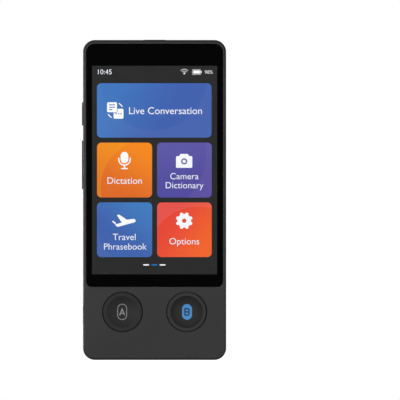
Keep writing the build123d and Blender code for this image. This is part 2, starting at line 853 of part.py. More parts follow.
with BuildPart() as key_b:
    key_body(key_offset)
    fillet(
        key_b.edges().filter_by(GeomType.CIRCLE).group_by(Axis.Y)[0].sort_by(SortBy.RADIUS)[-1:],
        radius=key_edge_radius,
    )
    add(recess.part, mode=Mode.SUBTRACT)
    recess_edge = key_b.edges().filter_by(GeomType.CIRCLE).group_by(Axis.Y)[0].sort_by(SortBy.RADIUS)[0]
    chamfer(recess_edge, length=recess_bevel)
    add(key_b_light_guide.part, mode=Mode.SUBTRACT)
    add(key_b_legend.part, mode=Mode.SUBTRACT)

with BuildPart() as key_board:
    slab(2 * key_board_side, (key_board_bottom, key_board_top), board_radius, (key_board_y, chassis_y))

with BuildPart() as key_domes:
    pins(key_places, dome_diameter, (dome_y, key_board_y))
    fillet(key_domes.edges().group_by(Axis.Y)[0], radius=dome_round)

with BuildPart() as key_leds:
    for x, height in key_places:
        low = height - led_drop
        led_y = (key_board_y - led_thickness, key_board_y)
        brick(spread(x, led_size), led_y, (low, low + led_size))

with BuildPart() as key_flex:
    key_bond_y = key_board_y - flex_thickness / 2
    ribbon(
        [
            (key_bond_y, key_board_top - flex_overlap),
            (key_bond_y, flex_slot_height),
            (landing_y, flex_slot_height),
            (landing_y, landing_top),
        ],
        key_flex_offset,
        key_flex_width,
    )

# ================================================================== side keys
side_key_x = -case_side - side_key_proud
with BuildPart() as power_key:
    side_block(power_key_height, power_key_length, side_key_width, (side_key_x, side_key_back_x))
    fillet(power_key.edges().group_by(Axis.X)[0], radius=side_key_edge)
    brick(
        (side_stop_x, side_key_back_x),
        spread(side_key_y, side_flange_width),
        spread(power_key_height, power_key_length + 2 * side_flange_reach),
    )

with BuildPart() as volume_key:
    side_block(volume_key_height, volume_key_length, side_key_width, (side_key_x, side_key_back_x))
    fillet(volume_key.edges().group_by(Axis.X)[0], radius=side_key_edge)
    brick(
        (side_stop_x + volume_hook_gap, side_key_back_x),
        spread(side_key_y, side_flange_width),
        spread(volume_key_height, volume_hook_length),
    )
    # Rib that the key rocks on.
    brick(
        (side_key_back_x, side_flex_x - volume_pivot_gap),
        spread(side_key_y, side_key_width),
        spread(volume_key_height, volume_pivot_width),
    )

with BuildPart() as side_key_plate:
    plate_heights = (side_plate_low, side_plate_high)
    brick((side_plate_x, side_plate_back_x), (chassis_back_y, side_plate_top_y), plate_heights)
    foot_x = (side_plate_x - side_foot_width, side_plate_back_x)
    brick(foot_x, (chassis_back_y, chassis_back_y + side_plate_thickness), plate_heights)

flex_z = (side_plate_low + side_flange_reach, side_plate_high - side_flange_reach)
flex_low_y = side_key_y - side_flange_width / 2
with BuildPart() as side_key_flex:
    brick((side_flex_x, side_plate_x), (flex_low_y, side_plate_top_y), flex_z)

side_dome_heights = (
    power_key_height,
    volume_key_height - volume_dome_offset,
    volume_key_height + volume_dome_offset,
)
with BuildPart() as side_key_domes:
    with BuildSketch(Plane.YZ.offset(side_dome_x)) as domes:
        with Locations(*[(side_key_y, height) for height in side_dome_heights]):
            Circle(side_dome_diameter / 2)
    extrude(domes.sketch, amount=side_dome_thickness)
    fillet(side_key_domes.edges().group_by(Axis.X)[0], radius=dome_round)

# ================================================================== boards
screw_hole = screw_diameter + 2 * thread_gap
board_middle = middle(board_left, board_right)
board_width = board_right - board_left
main_board_z = (main_board_bottom, main_board_top)
sub_board_z = (sub_board_bottom, sub_board_top)
with BuildPart() as main_board:
    slab(board_width, main_board_z, board_radius, (board_y, board_back_y), x=board_middle)
    pins(board_screw_places, screw_hole, (board_y, board_back_y), Mode.SUBTRACT)

with BuildPart() as sub_board:
    slab(board_width, sub_board_z, board_radius, (board_y, board_back_y), x=board_middle)
    pins(sub_screw_places, screw_hole, (board_y, board_back_y), Mode.SUBTRACT)

connector_middle = connector_edge + connector_height / 2
lower_connector_z = spread(sub_board_bottom + connector_middle, connector_height)
upper_connector_z = spread(main_board_bottom + connector_middle, connector_height)
channel_connector_z = spread(sub_board_top - connector_middle, connector_height)
with BuildPart() as board_connectors:
    sockets = [
        (0, display_flex_width, lower_connector_z),
        (key_flex_offset, key_flex_width, lower_connector_z),
        (channel_x, main_flex_width, channel_connector_z),
        (channel_x, main_flex_width, upper_connector_z),
        (0, battery_lead_width, upper_connector_z),
    ]
    for x, width, heights in sockets:
        brick(spread(x, width), (board_back_y, connector_y), heights)

with BuildPart() as main_flex:
    channel_y = chassis_back_y + flex_thickness / 2
    lower_turn = sub_board_top + flex_turn_gap
    upper_turn = main_board_bottom - flex_turn_gap
    ribbon(
        [
            (landing_y, channel_connector_z[0]),
            (landing_y, lower_turn),
            (channel_y, lower_turn),
            (channel_y, upper_turn),
            (landing_y, upper_turn),
            (landing_y, upper_connector_z[1]),
        ],
        channel_x,
        main_flex_width,
    )

# Shield cans: the large one left of the camera, the small one at its lower right.
shield_y = (board_back_y, board_back_y + shield_height)
camera_left = -camera_size / 2
camera_right = camera_size / 2
processor_x = (board_left + shield_edge, camera_left - shield_gap)
processor_z = spread(main_board_bottom + processor_rise, processor_height)
power_x = (camera_right + shield_gap, board_right - shield_edge)
power_z = (upper_connector_z[1] + shield_corner, camera_height - flash_diameter / 2 - flash_shield_gap)


def shield_can(x, z):
    """Pressed can with an open front side and a rounded rim."""
    slab(x[1] - x[0], z, shield_corner, shield_y, x=middle(*x))
    inside = (shield_y[0], shield_y[1] - shield_thickness)
    room_z = (z[0] + shield_thickness, z[1] - shield_thickness)
    room_width = x[1] - x[0] - 2 * shield_thickness
    room_corner = shield_corner - shield_thickness
    slab(room_width, room_z, room_corner, inside, x=middle(*x), mode=Mode.SUBTRACT)


with BuildPart() as processor_shield:
    shield_can(processor_x, processor_z)

with BuildPart() as power_shield:
    shield_can(power_x, power_z)

with BuildPart() as board_chips:
    chip_y = (board_back_y, board_back_y + chip_thickness)
    split = middle(*processor_z)
    inset = chip_inset
    low_chip = (processor_z[0] + inset, split - inset / 2)
    high_chip = (split + inset / 2, processor_z[1] - inset)
    for heights in (low_chip, high_chip):
        brick((processor_x[0] + inset, processor_x[1] - inset), chip_y, heights)
    half_x = middle(*power_x)
    for ends in ((power_x[0] + inset, half_x - inset / 2), (half_x + inset / 2, power_x[1] - inset)):
        brick(ends, chip_y, (power_z[0] + inset, power_z[1] - inset))

with BuildPart() as wifi_antenna:
    antenna_y = (cover_inside_y - antenna_thickness, cover_inside_y)
    antenna_x = (cavity_side - antenna_edge - antenna_width, cavity_side - antenna_edge)
    antenna_z = (cavity_top - antenna_edge / 2 - antenna_height, cavity_top - antenna_edge / 2)
    arm = antenna_height / 3
    brick(antenna_x, antenna_y, (antenna_z[1] - arm, antenna_z[1]))
    brick((antenna_x[0], antenna_x[0] + arm), antenna_y, antenna_z)

# ================================================================== charging port
with BuildPart() as usb_shell:
    with BuildSketch(Plane.XY.offset(usb_bottom)) as shell_outline:
        with Locations((0, usb_y)):
            SlotOverall(usb_width, usb_thickness)
    extrude(shell_outline.sketch, amount=usb_depth)
    with BuildSketch(Plane.XY.offset(usb_bottom)) as shell_room:
        with Locations((0, usb_y)):
            SlotOverall(usb_width - 2 * usb_shell_wall, usb_thickness - 2 * usb_shell_wall)
    extrude(shell_room.sketch, amount=usb_depth, mode=Mode.SUBTRACT)

with BuildPart() as usb_tongue:
    with BuildSketch(Plane.XY.offset(usb_bottom)) as tongue_base:
        with Locations((0, usb_y)):
            SlotOverall(usb_width - 2 * usb_shell_wall, usb_thickness - 2 * usb_shell_wall)
    extrude(tongue_base.sketch, amount=usb_depth - usb_plug_room)
    brick(
        spread(0, tongue_width),
        spread(usb_y, tongue_thickness),
        (usb_bottom, usb_bottom + usb_depth - usb_plug_room + tongue_depth),
    )

# ================================================================== camera and flash
with BuildPart() as camera_module:
    brick(
        (camera_left, camera_right),
        (board_back_y, camera_top_y),
        spread(camera_height, camera_size),
    )
    fillet(camera_module.edges().filter_by(Axis.Y), radius=camera_corner)

with BuildPart() as camera_barrel:
    pins([(0, camera_height)], barrel_diameter, (camera_top_y, barrel_top_y))
    with BuildSketch(Plane.XY.offset(camera_height)) as bore:
        with BuildLine():
            Polyline(
                (0, camera_top_y),
                (pupil_diameter / 2, camera_top_y),
                (pupil_diameter / 2, barrel_top_y - baffle_depth),
                (baffle_diameter / 2, barrel_top_y),
                (0, barrel_top_y),
                close=True,
            )
        make_face()
    revolve(bore.sketch, axis=Axis((0, 0, camera_height), (0, 1, 0)), mode=Mode.SUBTRACT)

with BuildPart() as camera_lens:
    pins([(0, camera_height)], pupil_diameter, (camera_top_y, camera_top_y + lens_thickness))

with BuildPart() as camera_window:
    with BuildSketch(plane_at(window_back_y)) as pill:
        with Locations((0, camera_height)):
            SlotOverall(window_length, window_height)
    extrude(pill.sketch, amount=window_back_y - window_y)
    chamfer(camera_window.edges().group_by(Axis.Y)[-1], length=glass_edge_chamfer)
    whole = (window_y, window_back_y)
    ledge_y = window_back_y - lens_cover_thickness
    pins([(0, camera_height)], lens_cover_diameter - 2 * lens_cover_ledge, whole, Mode.SUBTRACT)
    pins([(0, camera_height)], lens_cover_diameter + 2 * window_gap, (ledge_y, window_back_y), Mode.SUBTRACT)
    pins([(flash_offset, camera_height)], flash_diameter + 2 * window_gap, whole, Mode.SUBTRACT)

with BuildPart() as camera_lens_cover:
    pins([(0, camera_height)], lens_cover_diameter, (ledge_y, window_back_y))

with BuildPart() as flash_led:
    led_half = flash_led_size / 2
    brick(
        (flash_offset - led_half, flash_offset + led_half),
        (board_back_y, board_back_y + flash_led_thickness),
        (camera_height - led_half, camera_height + led_half),
    )

with BuildPart() as flash_lens:
    stem_y = board_back_y + flash_led_thickness + flash_air
    pins([(flash_offset, camera_height)], flash_stem_diameter, (stem_y, window_y))
    pins([(flash_offset, camera_height)], flash_diameter, (window_y, window_back_y))

# ================================================================== sound
speaker_z = (speaker_bottom, speaker_top)
with BuildPart() as speaker_box:
    slab(2 * speaker_side, speaker_z, speaker_box_radius, (chassis_back_y, gasket_y))
    seat = (gasket_y - driver_depth - driver_sink, gasket_y)
    with BuildSketch(plane_at(seat[0])) as driver_seat:
        with Locations((0, grille_height)):
            SlotOverall(driver_length + 2 * driver_gap, driver_height + 2 * driver_gap)
    extrude(driver_seat.sketch, amount=seat[0] - seat[1], mode=Mode.SUBTRACT)
    # Air room behind the driver, and the opening that its magnet hangs through.
    room_y = (chassis_back_y + speaker_box_wall, seat[0] - speaker_box_wall)
    room_heights = (speaker_bottom + speaker_box_wall, speaker_top - speaker_box_wall)
    room_radius = speaker_box_radius - speaker_box_wall
    slab(2 * (speaker_side - speaker_box_wall), room_heights, room_radius, room_y, mode=Mode.SUBTRACT)
    with BuildSketch(plane_at(room_y[1])) as driver_opening:
        with Locations((0, grille_height)):
            SlotOverall(driver_length - 2 * driver_ledge, driver_height - 2 * driver_ledge)
    extrude(driver_opening.sketch, amount=room_y[1] - seat[0], mode=Mode.SUBTRACT)

with BuildPart() as speaker_driver:
    with BuildSketch(plane_at(seat[0])) as driver_outline:
        with Locations((0, grille_height)):
            SlotOverall(driver_length, driver_height)
    extrude(driver_outline.sketch, amount=-driver_depth)
    with BuildSketch(plane_at(seat[0] + driver_depth)) as cone:
        with Locations((0, grille_height)):
            SlotOverall(driver_length - 2 * cone_inset, driver_height - 2 * cone_inset)
    extrude(cone.sketch, amount=cone_depth, mode=Mode.SUBTRACT)
    brick(
        spread(0, magnet_length),
        (seat[0] - magnet_depth, seat[0]),
        spread(grille_height, magnet_height),
    )

with BuildPart() as speaker_gasket:
    outer_z = spread(grille_height, 2 * (gasket_half_height + gasket_width))
    inner_z = spread(grille_height, 2 * gasket_half_height)
    slab(2 * (gasket_side + gasket_width), outer_z, gasket_width, (gasket_y, mesh_y))
    slab(2 * gasket_side, inner_z, gasket_width / 2, (gasket_y, mesh_y), mode=Mode.SUBTRACT)

with BuildPart() as speaker_mesh:
    slab(2 * (gasket_side + gasket_width), outer_z, gasket_width, (mesh_y, cover_inside_y))

with BuildPart() as speaker_contacts:
    for step in (-1, 1):
        ribbon(
            [
                (middle(chassis_back_y, gasket_y), speaker_top + flex_thickness / 2),
                (gasket_y - contact_depth, speaker_top + flex_thickness / 2),
                (gasket_y - contact_depth, flex_slot_height),
                (board_back_y + flex_thickness / 2, sub_board_bottom - contact_rise),
                (board_back_y + flex_thickness / 2, sub_board_bottom + contact_landing),
            ],
            -contact_offset + step * contact_pitch / 2,
            contact_width,
        )

bottom_mic_z = (key_board_bottom, key_board_bottom + mic_height)
top_mic_z = (main_board_top - mic_height, main_board_top)
top_mic_x = spread(top_mic_offset, mic_width)
with BuildPart() as microphones:
    brick(spread(0, mic_width), (key_board_y - mic_thickness, key_board_y), bottom_mic_z)
    brick(top_mic_x, (board_back_y, board_back_y + mic_thickness), top_mic_z)

# Rubber boots that carry the sound from the holes to the microphones.
boot_places = (
    (0, bottom_mic_y, cavity_bottom, bottom_mic_z[0]),
    (top_mic_offset, top_mic_y, top_mic_z[1], cavity_top),
)
with BuildPart() as mic_boots:
    boot_depth = mic_thickness + 2 * boot_wall
    for x, y, low, high in boot_places:
        with BuildSketch(Plane.XY.offset(low)) as boot:
            with Locations((x, y)):
                Rectangle(boot_width, boot_depth)
                Circle(mic_hole / 2 - boot_wall / 2, mode=Mode.SUBTRACT)
        extrude(boot.sketch, amount=high - low)

# ================================================================== battery
battery_middle = middle(battery_left, battery_right)
battery_width = battery_right - battery_left
with BuildPart() as battery_cell:
    cell_top = battery_top - battery_terrace
    cell_y = (battery_y, battery_y + battery_thickness)
    slab(battery_width, (battery_bottom, cell_top), battery_radius, cell_y, x=battery_middle)
    fillet(battery_cell.edges().group_by(Axis.Y)[-1], radius=battery_edge_radius)

with BuildPart() as battery_tape:
    tape_x = (battery_left + tape_inset, battery_right - tape_inset)
    brick(tape_x, (chassis_back_y, battery_y), (battery_bottom + tape_inset, battery_top))

with BuildPart() as battery_circuit:
    circuit_x = spread(0, circuit_width)
    circuit_z = (cell_top + circuit_gap, cell_top + circuit_gap + circuit_height)
    brick(circuit_x, (battery_y, battery_y + circuit_thickness), circuit_z)

with BuildPart() as battery_lead:
    lead_y = battery_y + circuit_thickness + flex_thickness / 2
    ribbon(
        [
            (lead_y, circuit_z[0] + flex_bend),
            (lead_y, main_board_bottom - flex_turn_gap),
            (landing_y, main_board_bottom - flex_turn_gap),
            (landing_y, upper_connector_z[1]),
        ],
        0,
        battery_lead_width,
    )

with BuildPart() as battery_plug:
    plug_y = connector_y + flex_thickness
    plug_x = spread(0, battery_lead_width + 2 * plug_overhang)
    brick(plug_x, (plug_y, plug_y + plug_thickness), upper_connector_z)

# ================================================================== files
pieces = {
    "front_housing": front_housing,
    "back_cover": back_cover,
    "strap_eyelet": strap_eyelet,
    "strap_bar": strap_bar,
    "cover_glass": cover_glass,
    "ink_border": ink_border,
    "display_adhesive": display_adhesive,
    "lcd_panel": lcd_panel,
    "backlight": backlight,
    "display_foam": display_foam,
    "display_flex": display_flex,
    "chassis": chassis,
    "chassis_screws": chassis_screws,
    "board_screws": board_screws,
    "key_a": key_a,
    "key_a_legend": key_a_legend,
    "key_b": key_b,
    "key_b_light_guide": key_b_light_guide,
    "key_b_legend": key_b_legend,
    "key_board": key_board,
    "key_domes": key_domes,
    "key_leds": key_leds,
    "key_flex": key_flex,
    "power_key": power_key,
    "volume_key": volume_key,
    "side_key_plate": side_key_plate,
    "side_key_flex": side_key_flex,
    "side_key_domes": side_key_domes,
    "main_board": main_board,
    "sub_board": sub_board,
    "board_connectors": board_connectors,
    "board_chips": board_chips,
    "processor_shield": processor_shield,
    "power_shield": power_shield,
    "main_flex": main_flex,
    "wifi_antenna": wifi_antenna,
    "usb_shell": usb_shell,
    "usb_tongue": usb_tongue,
    "camera_module": camera_module,
    "camera_barrel": camera_barrel,
    "camera_lens": camera_lens,
    "camera_window": camera_window,
    "camera_lens_cover": camera_lens_cover,
    "flash_led": flash_led,
    "flash_lens": flash_lens,
    "speaker_box": speaker_box,
    "speaker_driver": speaker_driver,
    "speaker_gasket": speaker_gasket,
    "speaker_mesh": speaker_mesh,
    "speaker_contacts": speaker_contacts,
    "microphones": microphones,
    "mic_boots": mic_boots,
    "battery_cell": battery_cell,
    "battery_tape": battery_tape,
    "battery_circuit": battery_circuit,
    "battery_lead": battery_lead,
    "battery_plug": battery_plug,
}
os.makedirs("parts", exist_ok=True)
for name, piece in pieces.items():
    piece.part.label = name
    export_step(piece.part, f"parts/{name}.step")

print(f"case {case_width:.2f} x {case_depth:.2f} x {case_height:.2f} mm, {len(pieces)} pieces")
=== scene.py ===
"""Looks of the handheld translator: the finishes of its solids, the lit start page behind its glass, the fine
pieces of its port and camera, and the studio that it stands in."""

import json
import logging
import math
from abc import ABC, abstractmethod
from collections.abc import Callable, Mapping, Sequence
from dataclasses import dataclass, field
from enum import Enum
from functools import cache
from typing import Any, ClassVar

import bpy
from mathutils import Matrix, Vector

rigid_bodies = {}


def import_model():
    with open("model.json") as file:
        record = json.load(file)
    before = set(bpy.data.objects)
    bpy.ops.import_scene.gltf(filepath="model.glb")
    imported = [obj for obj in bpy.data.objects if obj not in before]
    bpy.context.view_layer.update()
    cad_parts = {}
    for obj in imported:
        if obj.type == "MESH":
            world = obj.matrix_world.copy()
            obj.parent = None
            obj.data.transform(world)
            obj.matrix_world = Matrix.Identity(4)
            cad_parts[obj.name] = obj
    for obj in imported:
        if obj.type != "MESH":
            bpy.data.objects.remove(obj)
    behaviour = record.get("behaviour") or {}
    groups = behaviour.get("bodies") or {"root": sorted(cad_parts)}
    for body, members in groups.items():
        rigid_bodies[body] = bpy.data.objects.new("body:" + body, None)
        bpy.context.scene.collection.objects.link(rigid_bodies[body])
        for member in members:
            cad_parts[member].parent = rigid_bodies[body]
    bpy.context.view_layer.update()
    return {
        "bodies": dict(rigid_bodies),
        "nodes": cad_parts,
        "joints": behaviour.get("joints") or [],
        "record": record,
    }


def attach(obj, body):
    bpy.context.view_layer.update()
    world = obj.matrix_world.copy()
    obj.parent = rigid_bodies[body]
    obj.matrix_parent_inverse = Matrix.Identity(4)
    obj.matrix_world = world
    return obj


LOG = logging.getLogger("translator")
MM = 0.001
DEVICE = "device"
NEAR = 1e-3  # millimetres within which two places are taken as one
CAPITAL = 0.682  # height of a capital over the size of the built-in letters

Colour = tuple[float, float, float, float]
Place = tuple[float, float]
Spot = tuple[float, float, float]
Test = Callable[[Vector], bool]

WHITE: Colour = (1.0, 1.0, 1.0, 1.0)


def tint(red: float, green: float, blue: float) -> Colour:
    """Turn display values of 0 to 255 into the linear colour that nodes take.

    Args:
        red: Red part.
        green: Green part.
        blue: Blue part.

    Returns:
        The linear colour, opaque.
    """
    parts = (value / 255 for value in (red, green, blue))
    linear = [part / 12.92 if part <= 0.04045 else ((part + 0.055) / 1.055) ** 2.4 for part in parts]
    return (linear[0], linear[1], linear[2], 1.0)


def grey(value: float) -> Colour:
    """Return an even grey from a display value of 0 to 255."""
    return tint(value, value, value)


def toned(colour: Colour, factor: float, lift: float = 0.0) -> Colour:
    """Make a colour paler or darker.

    Args:
        colour: Colour to start from.
        factor: Factor on each of its parts.
        lift: Amount added to each part.

    Returns:
        The new colour, opaque.
    """
    red, green, blue = (min(1.0, part * factor + lift) for part in colour[:3])
    return (red, green, blue, 1.0)


def metres(x: float, y: float, z: float) -> Spot:
    """Return a place given in millimetres in metres."""
    return (x * MM, y * MM, z * MM)


def anywhere(_: Vector) -> bool:
    """Accept every place."""
    return True


class Element(Enum):
    """Kind of mesh element that a modelling tool works on."""

    VERTEX = "VERT"
    FACE = "FACE"


class Align(Enum):
    """Side of a line of words that its place gives."""

    LEFT = "LEFT"
    MIDDLE = "CENTER"
    RIGHT = "RIGHT"


class Layer(Enum):
    """Front and back of the flat layers of the page, between the panel and the glass, in millimetres."""

    TILE = (-4.93, -4.90)
    MARK = (-4.96, -4.93)

    @property
    def front(self) -> float:
        """Return the side of the layer that faces the viewer."""
        return self.value[0]

    @property
    def depth(self) -> float:
        """Return the thickness of the layer."""
        return self.value[1] - self.value[0]


class Wiring:
    """A node tree that is filled one node at a time."""

    def __init__(self, tree: bpy.types.NodeTree) -> None:
        """Start on a tree, and empty it."""
        self.tree = tree
        tree.nodes.clear()

    def feed(self, node: bpy.types.Node, feeds: Mapping[str | int, Any]) -> bpy.types.Node:
        """Feed inputs of a node.

        Args:
            node: The node.
            feeds: Socket or plain value for each input, by name or number.

        Returns:
            The same node.
        """
        for key, value in feeds.items():
            if isinstance(value, bpy.types.NodeSocket):
                self.tree.links.new(value, node.inputs[key])
            else:
                node.inputs[key].default_value = value
        return node

    def add(self, kind: str, feeds: Mapping[str | int, Any] | None = None, **settings: Any) -> bpy.types.Node:
        """Add a node, set it and feed its inputs.

        Args:
            kind: Type of the node, without its ShaderNode prefix where it has one.
            feeds: Socket or plain value for each input, by name or number.
            **settings: Properties of the node.

        Returns:
            The node.
        """
        node = self.tree.nodes.new(kind if kind.startswith("NodeGroup") else "ShaderNode" + kind)
        for key, value in settings.items():
            setattr(node, key, value)
        return self.feed(node, feeds or {})

    def effect(self, group: bpy.types.NodeTree, feeds: Mapping[str, Any]) -> bpy.types.Node:
        """Place a shared effect with its own values.

        Args:
            group: Node group of the effect.
            feeds: Socket or plain value for each input.

        Returns:
            The group node.
        """
        return self.add("Group", feeds, node_tree=group)

    def maths(self, operation: str, *values: Any) -> bpy.types.NodeSocket:
        """Return the result of a Math node with these inputs."""
        return self.add("Math", dict(enumerate(values)), operation=operation).outputs[0]

    def vectors(self, operation: str, *values: Any) -> bpy.types.Node:
        """Return a Vector Math node with these inputs."""
        return self.add("VectorMath", dict(enumerate(values)), operation=operation)

    def ramp(
        self, value: Any, low: float, high: float, start: float = 0.0, end: float = 1.0
    ) -> bpy.types.NodeSocket:
        """Map a value smoothly from one range to another.

        Args:
            value: Socket to map.
            low: Value that gives start.
            high: Value that gives end.
            start: Result at low and below.
            end: Result at high and above.

        Returns:
            The mapped socket.
        """
        feeds = {0: value, 1: low, 2: high, 3: start, 4: end}
        return self.add("MapRange", feeds, interpolation_type="SMOOTHSTEP").outputs[0]

    def mix(self, share: Any, first: Any, second: Any) -> bpy.types.NodeSocket:
        """Return the first colour turning into the second as share goes to 1."""
        node = self.add("Mix", {0: share, 6: first, 7: second}, data_type="RGBA")
        return node.outputs[2]

    def choose(self, case: Any, value: Any, otherwise: Any) -> bpy.types.NodeSocket:
        """Return the one value where case is 1, and the other where it is 0."""
        return self.add("Mix", {0: case, 2: otherwise, 3: value}, data_type="FLOAT").outputs[0]

    def place(self) -> bpy.types.NodeSocket:
        """Return the place on the piece, in metres."""
        return self.add("TexCoord").outputs["Object"]

    def reach(self, near: bpy.types.NodeSocket) -> bpy.types.NodeSocket:
        """Return how far a place, taken from a middle, lies from the axis that runs front to back."""
        flat = self.vectors("MULTIPLY", near, (1.0, 0.0, 1.0)).outputs[0]
        return self.vectors("LENGTH", flat).outputs["Value"]


class Effects:
    """Surface effects that several finishes share, each built once as a node group."""

    @staticmethod
    def start(name: str, inputs: Mapping[str, Any], outputs: Mapping[str, str]) -> tuple[Wiring, Any, Any]:
        """Open a new effect with its sockets.

        Args:
            name: Name of the effect.
            inputs: Starting value of each input; its kind follows from the value.
            outputs: Socket type of each output.

        Returns:
            The wiring, the input sockets and the output sockets.
        """
        tree = bpy.data.node_groups.new(name, "ShaderNodeTree")
        kinds = {float: "NodeSocketFloat", tuple: "NodeSocketColor", list: "NodeSocketVector"}
        for key, value in inputs.items():
            socket = tree.interface.new_socket(name=key, in_out="INPUT", socket_type=kinds[type(value)])
            socket.default_value = value
        for key, kind in outputs.items():
            tree.interface.new_socket(name=key, in_out="OUTPUT", socket_type=kind)
        wiring = Wiring(tree)
        return wiring, wiring.add("NodeGroupInput").outputs, wiring.add("NodeGroupOutput").inputs

    @staticmethod
    @cache
    def grain() -> bpy.types.NodeTree:
        """Return the fine even grain of a spark-eroded mould.

        Returns:
            Group with the height of the grain and a soft cloudy mask.
        """
        w, given, out = Effects.start(
            "moulded_grain", {"Scale": 3000.0}, {"Height": "NodeSocketFloat", "Cloud": "NodeSocketFloat"}
        )
        place = w.place()
        fine = w.add("TexNoise", {"Vector": place, "Scale": given["Scale"], "Detail": 2.0, "Roughness": 0.6})
        pits = w.add("TexVoronoi", {"Vector": place, "Scale": given["Scale"]}, feature="SMOOTH_F1")
        height = w.maths("MULTIPLY_ADD", pits.outputs["Distance"], 0.5, fine.outputs[0])
        wide = w.maths("MULTIPLY", given["Scale"], 0.02)
        cloud = w.add("TexNoise", {"Vector": place, "Scale": wide, "Detail": 3.0})
        w.tree.links.new(height, out["Height"])
        w.tree.links.new(w.ramp(cloud.outputs[0], 0.3, 0.7), out["Cloud"])
        return w.tree

    @staticmethod
    @cache
    def edge() -> bpy.types.NodeTree:
        """Return the polish that hands leave along edges.

        Returns:
            Group with a mask that is 1 on worn edges.
        """
        w, given, out = Effects.start(
            "worn_edge", {"Radius": 0.0003, "Breakup": 0.5}, {"Mask": "NodeSocketFloat"}
        )
        rounded = w.add("Bevel", {"Radius": given["Radius"]}, samples=4)
        flat = w.add("NewGeometry")
        same = w.vectors("DOT_PRODUCT", rounded.outputs[0], flat.outputs["Normal"]).outputs["Value"]
        bent = w.ramp(w.maths("SUBTRACT", 1.0, same), 0.02, 0.25)
        patches = w.add("TexNoise", {"Vector": w.place(), "Scale": 220.0, "Detail": 4.0})
        kept = w.maths("SUBTRACT", 1.0, w.maths("MULTIPLY", given["Breakup"], patches.outputs[0]))
        w.tree.links.new(w.maths("MULTIPLY", bent, kept), out["Mask"])
        return w.tree

    @staticmethod
    @cache
    def smudge() -> bpy.types.NodeTree:
        """Return the faint wiped marks that fingers leave.

        Returns:
            Group with a mask that is 1 on the marks.
        """
        w, given, out = Effects.start("finger_smudge", {"Scale": 60.0}, {"Mask": "NodeSocketFloat"})
        bent = w.add("Mapping", {"Vector": w.place(), "Rotation": (0.0, 0.6, 0.0), "Scale": (1.0, 1.0, 0.35)})
        marks = w.add(
            "TexNoise", {"Vector": bent.outputs[0], "Scale": given["Scale"], "Detail": 5.0, "Distortion": 0.6}
        )
        w.tree.links.new(w.ramp(marks.outputs[0], 0.48, 0.72), out["Mask"])
        return w.tree

    @staticmethod
    @cache
    def streak() -> bpy.types.NodeTree:
        """Return the fine lines of drawn or rolled sheet.

        Returns:
            Group with the height of the lines.
        """
        w, given, out = Effects.start(
            "drawn_streak", {"Scale": 2500.0, "Stretch": [1.0, 1.0, 0.05]}, {"Height": "NodeSocketFloat"}
        )
        long = w.vectors("MULTIPLY", w.place(), given["Stretch"]).outputs[0]
        lines = w.add("TexNoise", {"Vector": long, "Scale": given["Scale"], "Detail": 3.0, "Roughness": 0.55})
        w.tree.links.new(lines.outputs[0], out["Height"])
        return w.tree

    @staticmethod
    @cache
    def sheen() -> bpy.types.NodeTree:
        """Return a colour that runs across a lit area, with a paler veil outside a large circle.

        Returns:
            Group with the colour.
        """
        w, given, out = Effects.start(
            "page_sheen",
            {
                "Near": (0.1, 0.1, 0.1, 1.0),
                "Far": (0.1, 0.1, 0.1, 1.0),
                "Heading": [0.0, 0.0, 1.0],
                "Start": 0.0,
                "Circle": [0.0, 0.0, 0.0],
                "Radius": 0.02,
                "Veil": 0.0,
                "Tone": WHITE,
            },
            {"Colour": "NodeSocketColor"},
        )
        place = w.place()
        along = w.vectors("DOT_PRODUCT", place, given["Heading"]).outputs["Value"]
        share = w.ramp(w.maths("SUBTRACT", along, given["Start"]), 0.0, 1.0)
        base = w.mix(share, given["Near"], given["Far"])
        reach = w.vectors("DISTANCE", place, given["Circle"]).outputs["Value"]
        outside = w.ramp(w.maths("SUBTRACT", reach, given["Radius"]), -0.00015, 0.00015)
        colour = w.mix(w.maths("MULTIPLY", outside, given["Veil"]), base, given["Tone"])
        w.tree.links.new(colour, out["Colour"])
        return w.tree


@dataclass(frozen=True)
class Finish(ABC):
    """A surface finish; its material is made the first time that it is asked for."""

    name: str
    made: ClassVar[dict[str, bpy.types.Material]] = {}

    def material(self) -> bpy.types.Material:
        """Make the material of this finish, or find the one that was made before.

        Returns:
            The material.
        """
        if self.name not in self.made:
            material = bpy.data.materials.new("finish_" + self.name)
            material.use_nodes = True
            w = Wiring(material.node_tree)
            shader = w.add("BsdfPrincipled")
            w.add("OutputMaterial", {"Surface": shader.outputs[0]})
            self.wire(w, shader)
            self.made[self.name] = material
        return self.made[self.name]

    @abstractmethod
    def wire(self, w: Wiring, shader: bpy.types.Node) -> None:
        """Feed the shader of the material.

        Args:
            w: Wiring of the material.
            shader: Its Principled shader.
        """

    @staticmethod
    def feed(w: Wiring, shader: bpy.types.Node, **feeds: Any) -> None:
        """Feed inputs of the shader.

        Args:
            w: Wiring of the material.
            shader: Its Principled shader.
            **feeds: Socket or plain value for each input, with underscores for the spaces in its name.
        """
        w.feed(shader, {key.replace("_", " ").replace("Ior", "IOR"): value for key, value in feeds.items()})

    @staticmethod
    def bump(w: Wiring, height: Any, distance: float, strength: float = 1.0, normal: Any = None) -> Any:
        """Return a normal raised by a height.

        Args:
            w: Wiring of the material.
            height: Socket of the height.
            distance: Height in metres that 1 stands for.
            strength: Share of the effect.
            normal: Normal to start from, if not the surface's own.

        Returns:
            Socket of the normal.
        """
        feeds = {"Height": height, "Distance": distance, "Strength": strength}
        if normal is not None:
            feeds["Normal"] = normal
        return w.add("Bump", feeds).outputs[0]


